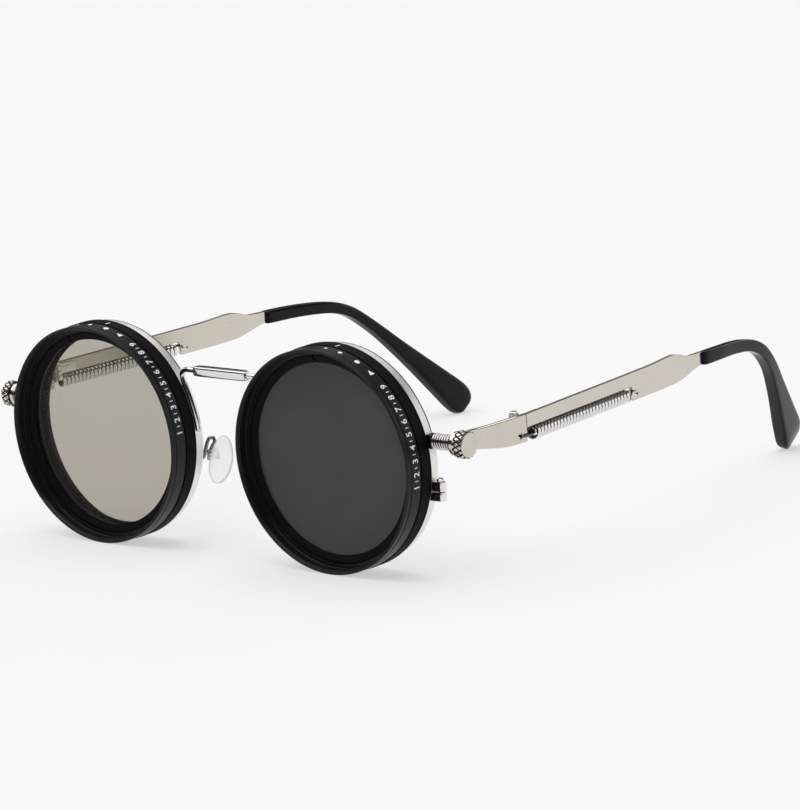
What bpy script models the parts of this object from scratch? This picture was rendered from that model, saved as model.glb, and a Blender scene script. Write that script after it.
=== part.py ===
"""Round sunglasses with turning dimmer rings.

Metres, +Z up.  +X is the wearer's left, the rings face -Y and the temples
run back along +Y.  The glasses stand on their two fixed rings and their two
ear tips, on the plane z = 0.

Dimensions below are millimetres in the frame of the eyewear front: the ring
axes lie along Y at x = +-RING_CENTRE_X, z = 0, and y = 0 is the front face of
the dial rings.  An empty at the top of the tree leans this frame forward by
STANCE_LEAN_DEG and lifts it so that the glasses stand on z = 0.
"""
import math

import bmesh
import bpy
from mathutils import Matrix, Vector

MM = 0.001

# ---------------------------------------------------------------- dimensions
RING_CENTRE_X = 36.55        # half the distance between the ring axes
RING_SEGMENTS = 36
SMALL_SEGMENTS = 24
TINY_SEGMENTS = 16

STANCE_LEAN_DEG = 1.4991       # rings lean forward so that the tips touch down
STANCE_LIFT = 26.41664         # height of the ring axes' front centre
STANCE_SHIFT_Y = -78.4541      # puts the middle of the depth on y = 0

DIAL_OUTER_R = 26.38         # turning ring
DIAL_MOUTH_R = 25.75         # wide mouth in front of the lens
DIAL_SEAT_R = 24.6
DIAL_SKIRT_R = 25.6
DIAL_DEPTH = 4.6
BASE_OUTER_R = 26.55         # fixed ring
BASE_FRONT_Y = 4.75
BASE_BACK_Y = 8.2
BASE_BORE_R = 25.75
APERTURE_R = 23.2            # clear opening behind the front disc
REAR_APERTURE_R = 23.0       # clear opening behind the rear disc
LENS_R = 24.4
LENS_THICKNESS = 1.4
FRONT_LENS_Y = 3.95
REAR_LENS_Y = 6.35
RIM_INNER_R = 25.1           # silver eyewire
RIM_OUTER_R = 25.95
RIM_FRONT_Y = 8.35
RIM_BACK_Y = 11.15

STUD_Y = 9.6                 # threaded stud, axis along X
STUD_Z = 5.25
STUD_R = 1.9
STUD_START_X = 63.4
STUD_END_X = 72.6
NUT_R = 3.25
NUT_BACK_X = 70.85
NUT_FACE_X = 73.65

PLATE_THICKNESS = 1.1
PLATE_EYE_R = 2.9
PLATE_X_FRONT = 70.75        # outer face of the end plate under the nut
PLATE_X_REAR = 76.33         # outer face at the hinge joint
PLATE_BEND_START_Y = 12.4
PLATE_END_Y = 26.65
TEMPLE_START_Y = 26.95
TEMPLE_SPLAY_DEG = 4.1       # temples run slightly inwards to the back
HINGE_X = 73.3
HINGE_Y = 26.0
HINGE_R = 1.25
HINGE_PIN_R = 0.55

SPRING_TURNS = 30
SPRING_MEAN_R = 1.24
SPRING_WIRE_R = 0.36

BRIDGE_WIRE_R = 0.65
BRIDGE_BAR_R = 1.27
BRIDGE_BAR_HALF = 8.2
BRIDGE_LEG_Y = 9.0
BRIDGE_Y = 8.2
BRIDGE_Z = 16.3

LOCK_SPLIT_Z = -6.47         # slit of the eyewire, in the closing block
PAD_PIN_X = 10.55            # pivot of the nose pad
PAD_PIN_Z = -5.6
PAD_Y = 14.2

# ------------------------------------------------------------- scene cleaning
for old in list(bpy.data.objects):
    bpy.data.objects.remove(old, do_unlink=True)


def collection(name):
    made = bpy.data.collections.new(name)
    bpy.context.scene.collection.children.link(made)
    return made


PARTS = collection("round_sunglasses")
CUTTERS = collection("cutters")


def material(name, color, roughness, metallic, alpha=1.0):
    mat = bpy.data.materials.new(name)
    mat.use_nodes = True
    shader = mat.node_tree.nodes["Principled BSDF"]
    shader.inputs["Base Color"].default_value = (*color, 1.0)
    shader.inputs["Roughness"].default_value = roughness
    shader.inputs["Metallic"].default_value = metallic
    shader.inputs["Alpha"].default_value = alpha
    return mat


BLACK = dict(color=(0.012, 0.012, 0.013), roughness=0.38, metallic=0.0)
SILVER = dict(color=(0.72, 0.69, 0.65), roughness=0.24, metallic=1.0)
STEEL = dict(color=(0.60, 0.60, 0.60), roughness=0.28, metallic=1.0)
LOOKS = {
    "dial_ring": BLACK, "base_ring": BLACK, "front_retainer": BLACK,
    "front_lens": dict(color=(0.10, 0.10, 0.10), roughness=0.03, metallic=0.0, alpha=0.5),
    "rear_lens": dict(color=(0.16, 0.16, 0.15), roughness=0.03, metallic=0.0, alpha=0.4),
    "temple_tip": dict(color=(0.015, 0.015, 0.016), roughness=0.22, metallic=0.0),
    "nose_pad": dict(color=(0.80, 0.80, 0.80), roughness=0.2, metallic=0.0, alpha=0.5),
    "end_block": dict(color=(0.05, 0.05, 0.05), roughness=0.3, metallic=1.0),
    "spring": STEEL, "hinge_screw": STEEL, "closing_screw": STEEL,
    "nose_pad_screw": STEEL, "snap_ring": STEEL,
}

# ----------------------------------------------------------------- the frame
stance = bpy.data.objects.new("stance", None)
stance.location = (0.0, STANCE_SHIFT_Y * MM, STANCE_LIFT * MM)
stance.rotation_euler = (math.radians(STANCE_LEAN_DEG), 0.0, 0.0)
PARTS.objects.link(stance)


def pivot(name, x, y, z, parent=None):
    """An empty on a joint's axis."""
    made = bpy.data.objects.new(name, None)
    made.empty_display_size = 0.004
    parent = parent or stance
    made.parent = parent
    base = parent["at"] if "at" in parent else (0.0, 0.0, 0.0)
    made["at"] = (x, y, z)
    made.location = ((x - base[0]) * MM, (y - base[1]) * MM, (z - base[2]) * MM)
    PARTS.objects.link(made)
    return made


stance["at"] = (0.0, 0.0, 0.0)


def add(mesh, name, kind, parent=None, at=None, rotation=None, smooth=True):
    """Puts a mesh in the object as one piece.

    The mesh is in front-frame metres unless `at` gives the point that its own
    origin belongs to.
    """
    obj = bpy.data.objects.new(name, mesh)
    PARTS.objects.link(obj)
    parent = parent or stance
    base = Vector(parent["at"]) * MM
    obj.parent = parent
    if at is None:
        mesh.transform(Matrix.Translation(-base))
    else:
        obj.location = Vector(at) * MM - base
    if rotation:
        obj.rotation_euler = rotation
    mesh.materials.clear()
    look = LOOKS.get(kind, SILVER)
    mesh.materials.append(material(name, **look))
    if smooth:
        mesh.shade_smooth()
        mesh.set_sharp_from_angle(angle=math.radians(35))
    return obj


def cutter(mesh, name):
    obj = bpy.data.objects.new(name, mesh)
    CUTTERS.objects.link(obj)
    obj.parent = stance
    obj.hide_render = True
    obj.display_type = "WIRE"
    return obj


def boolean(obj, other, operation="DIFFERENCE"):
    mod = obj.modifiers.new(operation.lower(), "BOOLEAN")
    mod.operation = operation
    mod.object = other
    mod.solver = "EXACT"
    return mod


AXIS_TURN = {
    "Y": (math.pi / 2, 0.0, 0.0),        # local Z points to -Y, the front
    "X": (0.0, math.pi / 2, 0.0),        # local Z points to +X
    "-X": (0.0, -math.pi / 2, 0.0),      # local Z points to -X
    "Z": (0.0, 0.0, 0.0),
}


def turned(name, kind, profile, centre, axis, segments, parent=None, closed=True, phase=0.0):
    """A turned piece: (radius, height) points, down the outer side first.

    Height runs along the axis; the profile closes on itself for a ring, or
    starts and ends on the axis for a solid of revolution.
    """
    mesh = bpy.data.meshes.new(name)
    bm = bmesh.new()
    c, s = math.cos(phase), math.sin(phase)
    verts = [bm.verts.new((r * c * MM, r * s * MM, h * MM)) for r, h in profile]
    for a, b in zip(verts[:-1], verts[1:]):
        bm.edges.new((a, b))
    if closed:
        bm.edges.new((verts[-1], verts[0]))
    bm.to_mesh(mesh)
    bm.free()
    obj = add(mesh, name, kind, parent, centre, AXIS_TURN[axis])
    screw = obj.modifiers.new("turn", "SCREW")
    screw.axis = "Z"
    screw.angle = 2 * math.pi
    screw.steps = segments
    screw.render_steps = segments
    screw.use_merge_vertices = True
    screw.merge_threshold = 0.00001
    screw.use_smooth_shade = True
    return obj


# Ring facets touch the true radius at their middles, so widths are exact.
RING_FIT = 1.0 / math.cos(math.pi / RING_SEGMENTS)


def front_profile(points):
    """Profile given as (radius, y) with y to the back, for a turn about Y."""
    return [(r * RING_FIT, -y) for r, y in points]


def box(name, x0, x1, y0, y1, z0, z1):
    bm = bmesh.new()
    bmesh.ops.create_cube(bm, size=1.0)
    for v in bm.verts:
        v.co = Vector(((x0 + x1) / 2 + v.co.x * (x1 - x0),
                       (y0 + y1) / 2 + v.co.y * (y1 - y0),
                       (z0 + z1) / 2 + v.co.z * (z1 - z0))) * MM
    mesh = bpy.data.meshes.new(name)
    bm.to_mesh(mesh)
    bm.free()
    return mesh


def cylinder(name, radius, start, end, segments):
    """A plain cylinder between two points in millimetres."""
    start, end = Vector(start) * MM, Vector(end) * MM
    along = end - start
    bm = bmesh.new()
    bmesh.ops.create_cone(bm, cap_ends=True, cap_tris=False, segments=segments,
                          radius1=radius * MM, radius2=radius * MM, depth=along.length)
    turn = along.to_track_quat("Z", "Y").to_matrix().to_4x4()
    bm.transform(Matrix.Translation((start + end) / 2) @ turn)
    mesh = bpy.data.meshes.new(name)
    bm.to_mesh(mesh)
    bm.free()
    return mesh


def flat_outline(name, points, thickness):
    """A flat 2D curve, filled on both sides and extruded, made into a mesh.

    The outline lies in the local XY plane and the thickness runs along Z,
    centred on the plane.
    """
    curve = bpy.data.curves.new(name, "CURVE")
    curve.dimensions = "2D"
    curve.fill_mode = "BOTH"
    curve.extrude = thickness * MM / 2
    spline = curve.splines.new("POLY")
    spline.points.add(len(points) - 1)
    for p, (u, v) in zip(spline.points, points):
        p.co = (u * MM, v * MM, 0.0, 1.0)
    spline.use_cyclic_u = True
    return curve_mesh(curve, name)


def curve_mesh(curve, name):
    """The evaluated mesh of a curve, its caps welded, the curve removed."""
    holder = bpy.data.objects.new(name + "_curve", curve)
    CUTTERS.objects.link(holder)
    bpy.context.view_layer.update()
    graph = bpy.context.evaluated_depsgraph_get()
    mesh = bpy.data.meshes.new_from_object(holder.evaluated_get(graph))
    bpy.data.objects.remove(holder, do_unlink=True)
    bm = bmesh.new()
    bm.from_mesh(mesh)
    bmesh.ops.remove_doubles(bm, verts=bm.verts, dist=1e-6)
    bmesh.ops.recalc_face_normals(bm, faces=bm.faces)
    bm.to_mesh(mesh)
    bm.free()
    return mesh


def wire(name, points, radius, resolution=2):
    """A round wire along points in front-frame millimetres, ends filled."""
    curve = bpy.data.curves.new(name, "CURVE")
    curve.dimensions = "3D"
    curve.bevel_depth = radius * MM
    curve.bevel_resolution = resolution
    curve.use_fill_caps = True
    spline = curve.splines.new("POLY")
    spline.points.add(len(points) - 1)
    for p, q in zip(spline.points, points):
        p.co = (q[0] * MM, q[1] * MM, q[2] * MM, 1.0)
    return curve_mesh(curve, name)


def smooth_path(points, per_span):
    """Points on a Catmull-Rom curve through the given points."""
    pts = [Vector(p) for p in points]
    ext = [2 * pts[0] - pts[1]] + pts + [2 * pts[-1] - pts[-2]]
    out = []
    for i in range(1, len(ext) - 2):
        p0, p1, p2, p3 = ext[i - 1], ext[i], ext[i + 1], ext[i + 2]
        for k in range(per_span):
            t = k / per_span
            out.append(0.5 * ((2 * p1) + (p2 - p0) * t + (2 * p0 - 5 * p1 + 4 * p2 - p3) * t * t
                              + (3 * p1 - p0 - 3 * p2 + p3) * t ** 3))
    out.append(pts[-1])
    return out


def loft(name, rings):
    """A closed body through rings of points, all with the same count."""
    bm = bmesh.new()
    rows = [[bm.verts.new(Vector(p) * MM) for p in ring] for ring in rings]
    n = len(rows[0])
    for a, b in zip(rows[:-1], rows[1:]):
        for i in range(n):
            j = (i + 1) % n
            bm.faces.new((a[i], a[j], b[j], b[i]))
    bm.faces.new(list(reversed(rows[0])))
    bm.faces.new(rows[-1])
    bmesh.ops.recalc_face_normals(bm, faces=bm.faces)
    mesh = bpy.data.meshes.new(name)
    bm.to_mesh(mesh)
    bm.free()
    return mesh


def slice_along(mesh, places, normal):
    """Cuts extra edges across a plate, so that it can be bent."""
    bm = bmesh.new()
    bm.from_mesh(mesh)
    for place in places:
        bmesh.ops.bisect_plane(bm, geom=bm.verts[:] + bm.edges[:] + bm.faces[:],
                               plane_co=Vector(place) * MM, plane_no=normal, dist=1e-7)
    bm.to_mesh(mesh)
    bm.free()


def mirrored(source, name, kind, parent):
    """The wearer's right copy of a left piece, as its own mesh."""
    bpy.context.view_layer.update()
    graph = bpy.context.evaluated_depsgraph_get()
    mesh = bpy.data.meshes.new_from_object(source.evaluated_get(graph))
    to_front = stance.matrix_world.inverted() @ source.matrix_world
    mesh.transform(Matrix.Scale(-1.0, 4, Vector((1.0, 0.0, 0.0))) @ to_front)
    mesh.flip_normals()
    return add(mesh, name, kind, parent)


# ------------------------------------------------------------------ the rings
DIAL_PROFILE = [
    (26.26, 0.0), (DIAL_OUTER_R, 0.12), (DIAL_OUTER_R, 1.2), (26.15, 1.35), (26.15, 1.5),
    (DIAL_OUTER_R, 1.65), (DIAL_OUTER_R, 4.45), (26.25, DIAL_DEPTH), (DIAL_SKIRT_R, DIAL_DEPTH),
    (DIAL_SKIRT_R, 5.0), (25.12, 5.0), (25.12, 5.7), (DIAL_SKIRT_R, 5.7), (DIAL_SKIRT_R, 6.05),
    (APERTURE_R, 6.05), (APERTURE_R, 5.45), (DIAL_SEAT_R, 5.45), (DIAL_SEAT_R, 2.95),
    (DIAL_MOUTH_R, 2.95), (DIAL_MOUTH_R, 0.0),
]
BASE_PROFILE = [
    (BASE_OUTER_R, BASE_FRONT_Y), (BASE_OUTER_R, 8.0), (26.4, BASE_BACK_Y), (24.95, BASE_BACK_Y),
    (24.95, 9.3), (25.22, 9.6), (24.95, 9.9), (24.95, 10.3), (24.35, 10.3), (24.35, 8.35),
    (REAR_APERTURE_R, 8.35), (REAR_APERTURE_R, 7.85), (DIAL_SEAT_R, 7.85), (DIAL_SEAT_R, 6.2), (BASE_BORE_R, 6.2),
    (BASE_BORE_R, 5.7), (26.12, 5.7), (26.12, 5.0), (BASE_BORE_R, 5.0), (BASE_BORE_R, BASE_FRONT_Y),
]
RETAINER_PROFILE = [(24.5, 3.05), (24.5, 3.85), (22.6, 3.85), (22.8, 3.05)]
SNAP_PROFILE = [(25.98, 5.15), (25.98, 5.55), (25.3, 5.55), (25.3, 5.15)]
RIM_PROFILE = [
    (25.8, RIM_FRONT_Y), (RIM_OUTER_R, 8.5), (RIM_OUTER_R, 11.0), (25.8, RIM_BACK_Y),
    (RIM_INNER_R, RIM_BACK_Y), (RIM_INNER_R, 9.98), (25.42, 9.6), (RIM_INNER_R, 9.22),
    (RIM_INNER_R, RIM_FRONT_Y),
]


def disc(y):
    return [(0.0, y), (LENS_R, y), (LENS_R, y + LENS_THICKNESS), (0.0, y + LENS_THICKNESS)]


# A flat facet of every ring faces straight down, and one straight up.
RING_PHASE = math.pi / 2 - math.pi / RING_SEGMENTS

for side, sign in (("left", 1.0), ("right", -1.0)):
    cx = sign * RING_CENTRE_X
    centre = (cx, 0.0, 0.0)
    dial = pivot(side + "_dial_axis", cx, 0.0, 0.0)

    turned(side + "_dial_ring", "dial_ring", front_profile(DIAL_PROFILE), centre, "Y",
           RING_SEGMENTS, dial, phase=RING_PHASE)
    turned(side + "_front_lens", "front_lens", front_profile(disc(FRONT_LENS_Y)), centre, "Y",
           RING_SEGMENTS, dial, closed=False, phase=RING_PHASE)
    turned(side + "_front_retainer", "front_retainer", front_profile(RETAINER_PROFILE), centre, "Y",
           RING_SEGMENTS, dial, phase=RING_PHASE)
    turned(side + "_base_ring", "base_ring", front_profile(BASE_PROFILE), centre, "Y",
           RING_SEGMENTS, phase=RING_PHASE)
    turned(side + "_rear_lens", "rear_lens", front_profile(disc(REAR_LENS_Y)), centre, "Y",
           RING_SEGMENTS, closed=False, phase=RING_PHASE)

    snap = turned(side + "_snap_ring", "snap_ring", front_profile(SNAP_PROFILE), centre, "Y",
                  RING_SEGMENTS, phase=RING_PHASE)
    boolean(snap, cutter(box(side + "_snap_gap", cx - 5.0, cx + 5.0, 4.0, 7.0, 20.0, 28.0),
                         side + "_snap_gap"))

    rim = turned(side + "_rim", "rim", front_profile(RIM_PROFILE), centre, "Y",
                 RING_SEGMENTS, phase=RING_PHASE)
    outer = sorted((cx + sign * 22.0, cx + sign * 29.0))
    boolean(rim, cutter(box(side + "_rim_slit", outer[0], outer[1], 8.0, 11.4,
                            LOCK_SPLIT_Z - 0.13, LOCK_SPLIT_Z + 0.13), side + "_rim_slit"))

# ------------------------------------------- closing block, stud and thumb nut
rim_clear = cutter(cylinder("rim_clear", RIM_OUTER_R + 0.22, (RING_CENTRE_X, 8.0, 0.0),
                            (RING_CENTRE_X, 12.0, 0.0), 2 * RING_SEGMENTS), "rim_clear")
screw_hole = cutter(cylinder("closing_hole", 0.52, (64.0, 9.6, -10.0), (64.0, 9.6, -2.0),
                             TINY_SEGMENTS), "closing_hole")


def beveled_box(name, kind, limits, width, parent=None):
    obj = add(box(name, *limits), name, kind, parent)
    mod = obj.modifiers.new("edge", "BEVEL")
    mod.width = width * MM
    mod.segments = 1
    return obj


upper = beveled_box("left_closing_block_upper", "closing_block",
                    (61.0, 65.0, 8.6, 10.7, LOCK_SPLIT_Z + 0.13, -4.0), 0.18)
lower = beveled_box("left_closing_block_lower", "closing_block",
                    (60.6, 64.8, 8.6, 10.7, -8.7, LOCK_SPLIT_Z - 0.13), 0.18)
for lug in (upper, lower):
    boolean(lug, rim_clear)
    boolean(lug, screw_hole)
closing_screw = turned("left_closing_screw", "closing_screw",
                       [(0.0, -3.3), (0.7, -3.3), (0.88, -3.5), (0.88, -3.9), (0.42, -3.9),
                        (0.42, -8.6), (0.0, -8.6)],
                       (64.0, 9.6, 0.0), "Z", TINY_SEGMENTS, closed=False)

block = beveled_box("left_end_block", "end_block", (60.8, 63.3, 8.45, 10.85, 3.6, 6.9), 0.2)
boolean(block, rim_clear)
stud = turned("left_end_stud", "end_stud",
              [(0.0, STUD_END_X), (1.65, STUD_END_X), (STUD_R, STUD_END_X - 0.3),
               (STUD_R, STUD_START_X), (0.0, STUD_START_X)],
              (0.0, STUD_Y, STUD_Z), "X", SMALL_SEGMENTS, closed=False)
nut_axis = pivot("left_nut_axis", NUT_FACE_X, STUD_Y, STUD_Z)
nut = turned("left_thumb_nut", "thumb_nut",
             [(0.0, 0.0), (2.8, 0.0), (NUT_R, -0.42), (NUT_R, -2.55), (3.0, -2.8),
              (2.05, -2.8), (2.05, -0.9), (0.0, -0.9)],
             (NUT_FACE_X, STUD_Y, STUD_Z), "X", SMALL_SEGMENTS, nut_axis, closed=False)


# -------------------------------------------------------------- the end plate
def bend_x(y):
    """Outer face of the end plate: straight under the nut, then out to the hinge."""
    t = min(max((y - PLATE_BEND_START_Y) / (PLATE_END_Y - PLATE_BEND_START_Y), 0.0), 1.0)
    return PLATE_X_FRONT + (PLATE_X_REAR - PLATE_X_FRONT) * (3 * t * t - 2 * t ** 3)


def bend_slope(y):
    return (bend_x(y + 0.01) - bend_x(y - 0.01)) / 0.02


def plate_section(y):
    """Lower and upper edge of the end plate at y; its front end is a round eye."""
    half = math.sqrt(max(PLATE_EYE_R ** 2 - (STUD_Y - y) ** 2, 0.0))
    if y < STUD_Y:
        return STUD_Z - half, STUD_Z + half
    return min(along(END_BOTTOM, y), STUD_Z - half), max(along(END_TOP, y), STUD_Z + half)


def along(points, y):
    """Straight-line value between (y, z) points."""
    for (y0, z0), (y1, z1) in zip(points[:-1], points[1:]):
        if y <= y1:
            return z0 + (z1 - z0) * (y - y0) / (y1 - y0)
    return points[-1][1]


END_TOP = [(STUD_Y, 7.67), (12.5, 7.6), (14.2, 7.55), (16.0, 7.62), (18.0, 7.85), (20.0, 8.18),
           (22.0, 8.5), (24.0, 8.74), (PLATE_END_Y, 8.82)]
END_BOTTOM = [(STUD_Y, 2.82), (12.5, 2.84), (14.8, 2.78), (16.5, 2.56), (18.0, 2.34), (20.0, 2.12),
              (22.0, 2.12), (24.0, 2.26), (PLATE_END_Y, 2.44)]
sections = []
for y in (6.78, 7.05, 7.6, 8.5, STUD_Y, 10.5, 11.2, 12.5, 13.6, 15.0, 16.5, 18.0, 20.0, 22.0, 24.0, 25.4,
          PLATE_END_Y):
    slope = bend_slope(min(y, PLATE_END_Y - 0.02))
    run = math.sqrt(1 + slope * slope)
    low, high = plate_section(y)
    outer_face, depth = bend_x(y), PLATE_THICKNESS
    inner_face, inner_y = outer_face - depth / run, y + depth * slope / run
    sections.append([(outer_face, y, low), (outer_face, y, high),
                     (inner_face, inner_y, high), (inner_face, inner_y, low)])
end_mesh = loft("end_plate_body", sections)
end_plate = add(end_mesh, "left_end_plate", "end_plate")
boolean(end_plate, cutter(cylinder("stud_hole", STUD_R + 0.12, (66.0, STUD_Y, STUD_Z),
                                   (74.0, STUD_Y, STUD_Z), SMALL_SEGMENTS), "stud_hole"))
HOOK_FRONT = (24.8, 4.02)
boolean(end_plate, cutter(cylinder("front_hook_hole", 0.72, (72.0, HOOK_FRONT[0] + 0.9, HOOK_FRONT[1]),
                                   (79.0, HOOK_FRONT[0] - 0.85, HOOK_FRONT[1]), TINY_SEGMENTS),
                          "front_hook_hole"))

# -------------------------------------------------------------- temple and tip
hinge_axis = pivot("left_hinge_axis", HINGE_X, HINGE_Y, 0.0)
SPLAY = math.radians(TEMPLE_SPLAY_DEG)


def temple_point(y, z, out=0.0):
    """A point of the temple: y before splay, z, and distance out of its outer face."""
    s = y - TEMPLE_START_Y
    return Vector((PLATE_X_REAR - s * math.sin(SPLAY) + out * math.cos(SPLAY),
                   TEMPLE_START_Y + s * math.cos(SPLAY) + out * math.sin(SPLAY), z))


NOTCH_END_Y = 69.0
temple_outline = [
    (TEMPLE_START_Y, 8.76), (60.0, 8.74), (77.0, 8.78), (80.0, 8.88), (82.5, 9.02), (85.5, 9.14),
    (87.6, 9.03), (89.7, 8.64), (91.1, 8.17), (92.8, 7.66), (94.8, 7.38), (98.9, 7.25),
    (98.9, 6.35), (108.0, 6.25), (108.0, 4.75), (98.9, 4.85), (98.9, 4.12), (97.6, 4.02),
    (95.9, 3.72), (94.1, 3.32), (92.2, 2.84), (90.3, 2.44), (88.3, 2.18), (85.5, 2.04),
    (80.0, 1.96), (NOTCH_END_Y + 0.4, 2.0), (NOTCH_END_Y, 2.4), (NOTCH_END_Y, 4.95),
    (NOTCH_END_Y - 0.45, 5.38), (45.0, 5.42), (TEMPLE_START_Y, 5.5),
]
temple_mesh = flat_outline("temple_flat", temple_outline, PLATE_THICKNESS)
for v in temple_mesh.vertices:
    y, z, depth = v.co.x / MM, v.co.y / MM, v.co.z / MM - PLATE_THICKNESS / 2
    v.co = temple_point(y, z, depth) * MM
bm = bmesh.new()
bm.from_mesh(temple_mesh)
bmesh.ops.recalc_face_normals(bm, faces=bm.faces)
bm.to_mesh(temple_mesh)
bm.free()
temple = add(temple_mesh, "left_temple", "temple", hinge_axis)
HOOK_REAR = (70.7, 3.68)
boolean(temple, cutter(cylinder("rear_hook_hole", 0.72, temple_point(HOOK_REAR[0], HOOK_REAR[1], -3.0),
                                temple_point(HOOK_REAR[0], HOOK_REAR[1], 3.0), TINY_SEGMENTS),
                       "rear_hook_hole"))

# The tip's middle line and its half height and half thickness along it.
TIP_STATIONS = [
    # x, y, z, half height, half thickness
    (70.62, 98.95, 5.58, 1.62, 1.45), (70.50, 100.6, 5.52, 1.65, 1.62), (69.85, 106.5, 5.33, 1.6, 1.65),
    (68.75, 112.8, 4.95, 1.55, 1.65), (67.75, 119.0, 4.20, 1.53, 1.65), (67.10, 123.2, 3.10, 1.53, 1.65),
    (66.35, 127.2, 1.20, 1.52, 1.65), (65.25, 131.0, -1.80, 1.55, 1.65), (63.70, 134.8, -5.50, 1.68, 1.65),
    (61.50, 139.1, -10.35, 2.1, 1.70), (59.05, 143.7, -15.65, 2.78, 1.80), (56.70, 148.0, -20.75, 3.55, 1.90),
    (54.85, 151.6, -25.0, 4.2, 1.85), (54.0, 153.2, -27.0, 4.15, 1.60), (53.5, 154.2, -28.35, 3.4, 1.20),
    (53.25, 154.65, -29.0, 2.2, 0.75),
]


def tip_rings(stations, count=12, power=2.6):
    rings = []
    pts = [Vector(s[:3]) for s in stations]
    for i, s in enumerate(stations):
        ahead = pts[min(i + 1, len(pts) - 1)] - pts[max(i - 1, 0)]
        ahead.normalize()
        up = Vector((1.0, 0.0, 0.0)).cross(ahead)
        up.normalize()
        across = ahead.cross(up)
        ring = []
        for k in range(count):
            a = 2 * math.pi * (k + 0.5) / count
            ca, sa = math.cos(a), math.sin(a)
            u = math.copysign(abs(ca) ** (2 / power), ca)
            w = math.copysign(abs(sa) ** (2 / power), sa)
            ring.append(pts[i] + across * (u * s[4]) + up * (w * s[3]))
        rings.append(ring)
    return rings


tip = add(loft("left_temple_tip", tip_rings(TIP_STATIONS)), "left_temple_tip", "temple_tip", hinge_axis)
core_bore = [temple_point(y, z, out) for y in (97.0, 108.4) for z, out in
             ((4.6, -1.3), (4.6, 0.2), (6.5, 0.2), (6.5, -1.3))]
boolean(tip, cutter(loft("core_bore", [core_bore[:4], core_bore[4:]]), "core_bore"))

# ------------------------------------------------------------------- the hinge
KNUCKLES = ((4.9, 6.05), (6.15, 7.35), (7.45, 8.6))


def outline_block(name, points, z0, z1):
    mesh = flat_outline(name, points, z1 - z0)
    mesh.transform(Matrix.Translation((0.0, 0.0, (z0 + z1) / 2 * MM)))
    return mesh


def plate_inner(y):
    slope = bend_slope(min(y, PLATE_END_Y - 0.02))
    return bend_x(y) - (PLATE_THICKNESS + 0.1) * math.sqrt(1 + slope * slope)


front_leaf = add(outline_block("left_hinge_leaf_front",
                               [(HINGE_X, HINGE_Y - 1.2), (plate_inner(23.6) - 0.1, 23.6),
                                (plate_inner(25.2), 25.2), (plate_inner(26.5), 26.5),
                                (HINGE_X, 26.5)], KNUCKLES[0][0], KNUCKLES[2][1]),
                 "left_hinge_leaf_front", "hinge_leaf_front")
front_barrel = cutter(cylinder("front_barrel", HINGE_R, (HINGE_X, HINGE_Y, KNUCKLES[0][0]),
                               (HINGE_X, HINGE_Y, KNUCKLES[2][1]), TINY_SEGMENTS), "front_barrel")
knuckle_slot = cutter(box("knuckle_slot", HINGE_X - 3.0, HINGE_X + 1.42, HINGE_Y - 3.2, HINGE_Y + 3.0,
                          KNUCKLES[0][1], KNUCKLES[2][0]), "knuckle_slot")
pin_hole = cutter(cylinder("pin_hole", HINGE_PIN_R + 0.08, (HINGE_X, HINGE_Y, 3.0),
                           (HINGE_X, HINGE_Y, 12.0), TINY_SEGMENTS), "pin_hole")
boolean(front_leaf, front_barrel, "UNION")
boolean(front_leaf, knuckle_slot)
boolean(front_leaf, pin_hole)

inner0, inner1 = temple_point(27.2, 0.0, -PLATE_THICKNESS - 0.08), temple_point(33.0, 0.0, -PLATE_THICKNESS - 0.08)
rear_leaf = add(outline_block("left_hinge_leaf_temple",
                              [(HINGE_X + 0.75, 27.35), (inner0.x, 27.35), (inner1.x, 33.0),
                               (inner1.x - 0.9, 33.0), (HINGE_X + 0.75, 29.4)], 5.95, 8.4),
                "left_hinge_leaf_temple", "hinge_leaf_temple", hinge_axis)
rear_knuckle = cutter(outline_block("rear_knuckle",
                                    [(HINGE_X + HINGE_R * math.cos(a), HINGE_Y + HINGE_R * math.sin(a))
                                     for a in [math.radians(20 - 22.5 * k) for k in range(12)]]
                                    + [(HINGE_X - 0.1, HINGE_Y + 1.24), (HINGE_X + 0.75, 28.2),
                                       (HINGE_X + 1.3, 28.2), (HINGE_X + 1.3, 27.3)],
                                    *KNUCKLES[1]), "rear_knuckle")
boolean(rear_leaf, rear_knuckle, "UNION")
boolean(rear_leaf, pin_hole)
hinge_screw = turned("left_hinge_screw", "hinge_screw",
                     [(0.0, 9.3), (0.75, 9.3), (0.95, 9.15), (0.95, 8.7), (HINGE_PIN_R, 8.7),
                      (HINGE_PIN_R, 4.8), (0.0, 4.8)],
                     (HINGE_X, HINGE_Y, 0.0), "Z", TINY_SEGMENTS, closed=False)

# ------------------------------------------------------------------ the spring
def spring_path():
    """Hook in the end plate, close coils in the notch, hook in the temple."""
    depth = -PLATE_THICKNESS / 2
    y0, y1 = 28.6, 67.4
    path = [Vector((bend_x(HOOK_FRONT[0]) - 0.6, HOOK_FRONT[0], HOOK_FRONT[1])),
            Vector((bend_x(HOOK_FRONT[0]) + 0.5, HOOK_FRONT[0] - 0.1, HOOK_FRONT[1])),
            Vector((bend_x(26.0) + 0.62, 26.0, 3.95)),
            temple_point(27.5, 3.9, 0.45)]
    steps = SPRING_TURNS * 5
    for k in range(steps + 1):
        t = k / steps
        a = 2 * math.pi * SPRING_TURNS * t
        y = y0 + (y1 - y0) * t
        z = 3.8 - 0.2 * t
        path.append(temple_point(y, z + SPRING_MEAN_R * math.sin(a),
                                 depth + SPRING_MEAN_R * math.cos(a)))
    path += [temple_point(68.5, 4.1, 0.5), temple_point(70.0, 3.9, 0.52),
             temple_point(HOOK_REAR[0], HOOK_REAR[1], 0.4), temple_point(HOOK_REAR[0], HOOK_REAR[1], -0.7)]
    return path


spring = add(wire("left_spring", spring_path(), SPRING_WIRE_R, 0), "left_spring", "spring", hinge_axis)

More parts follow.
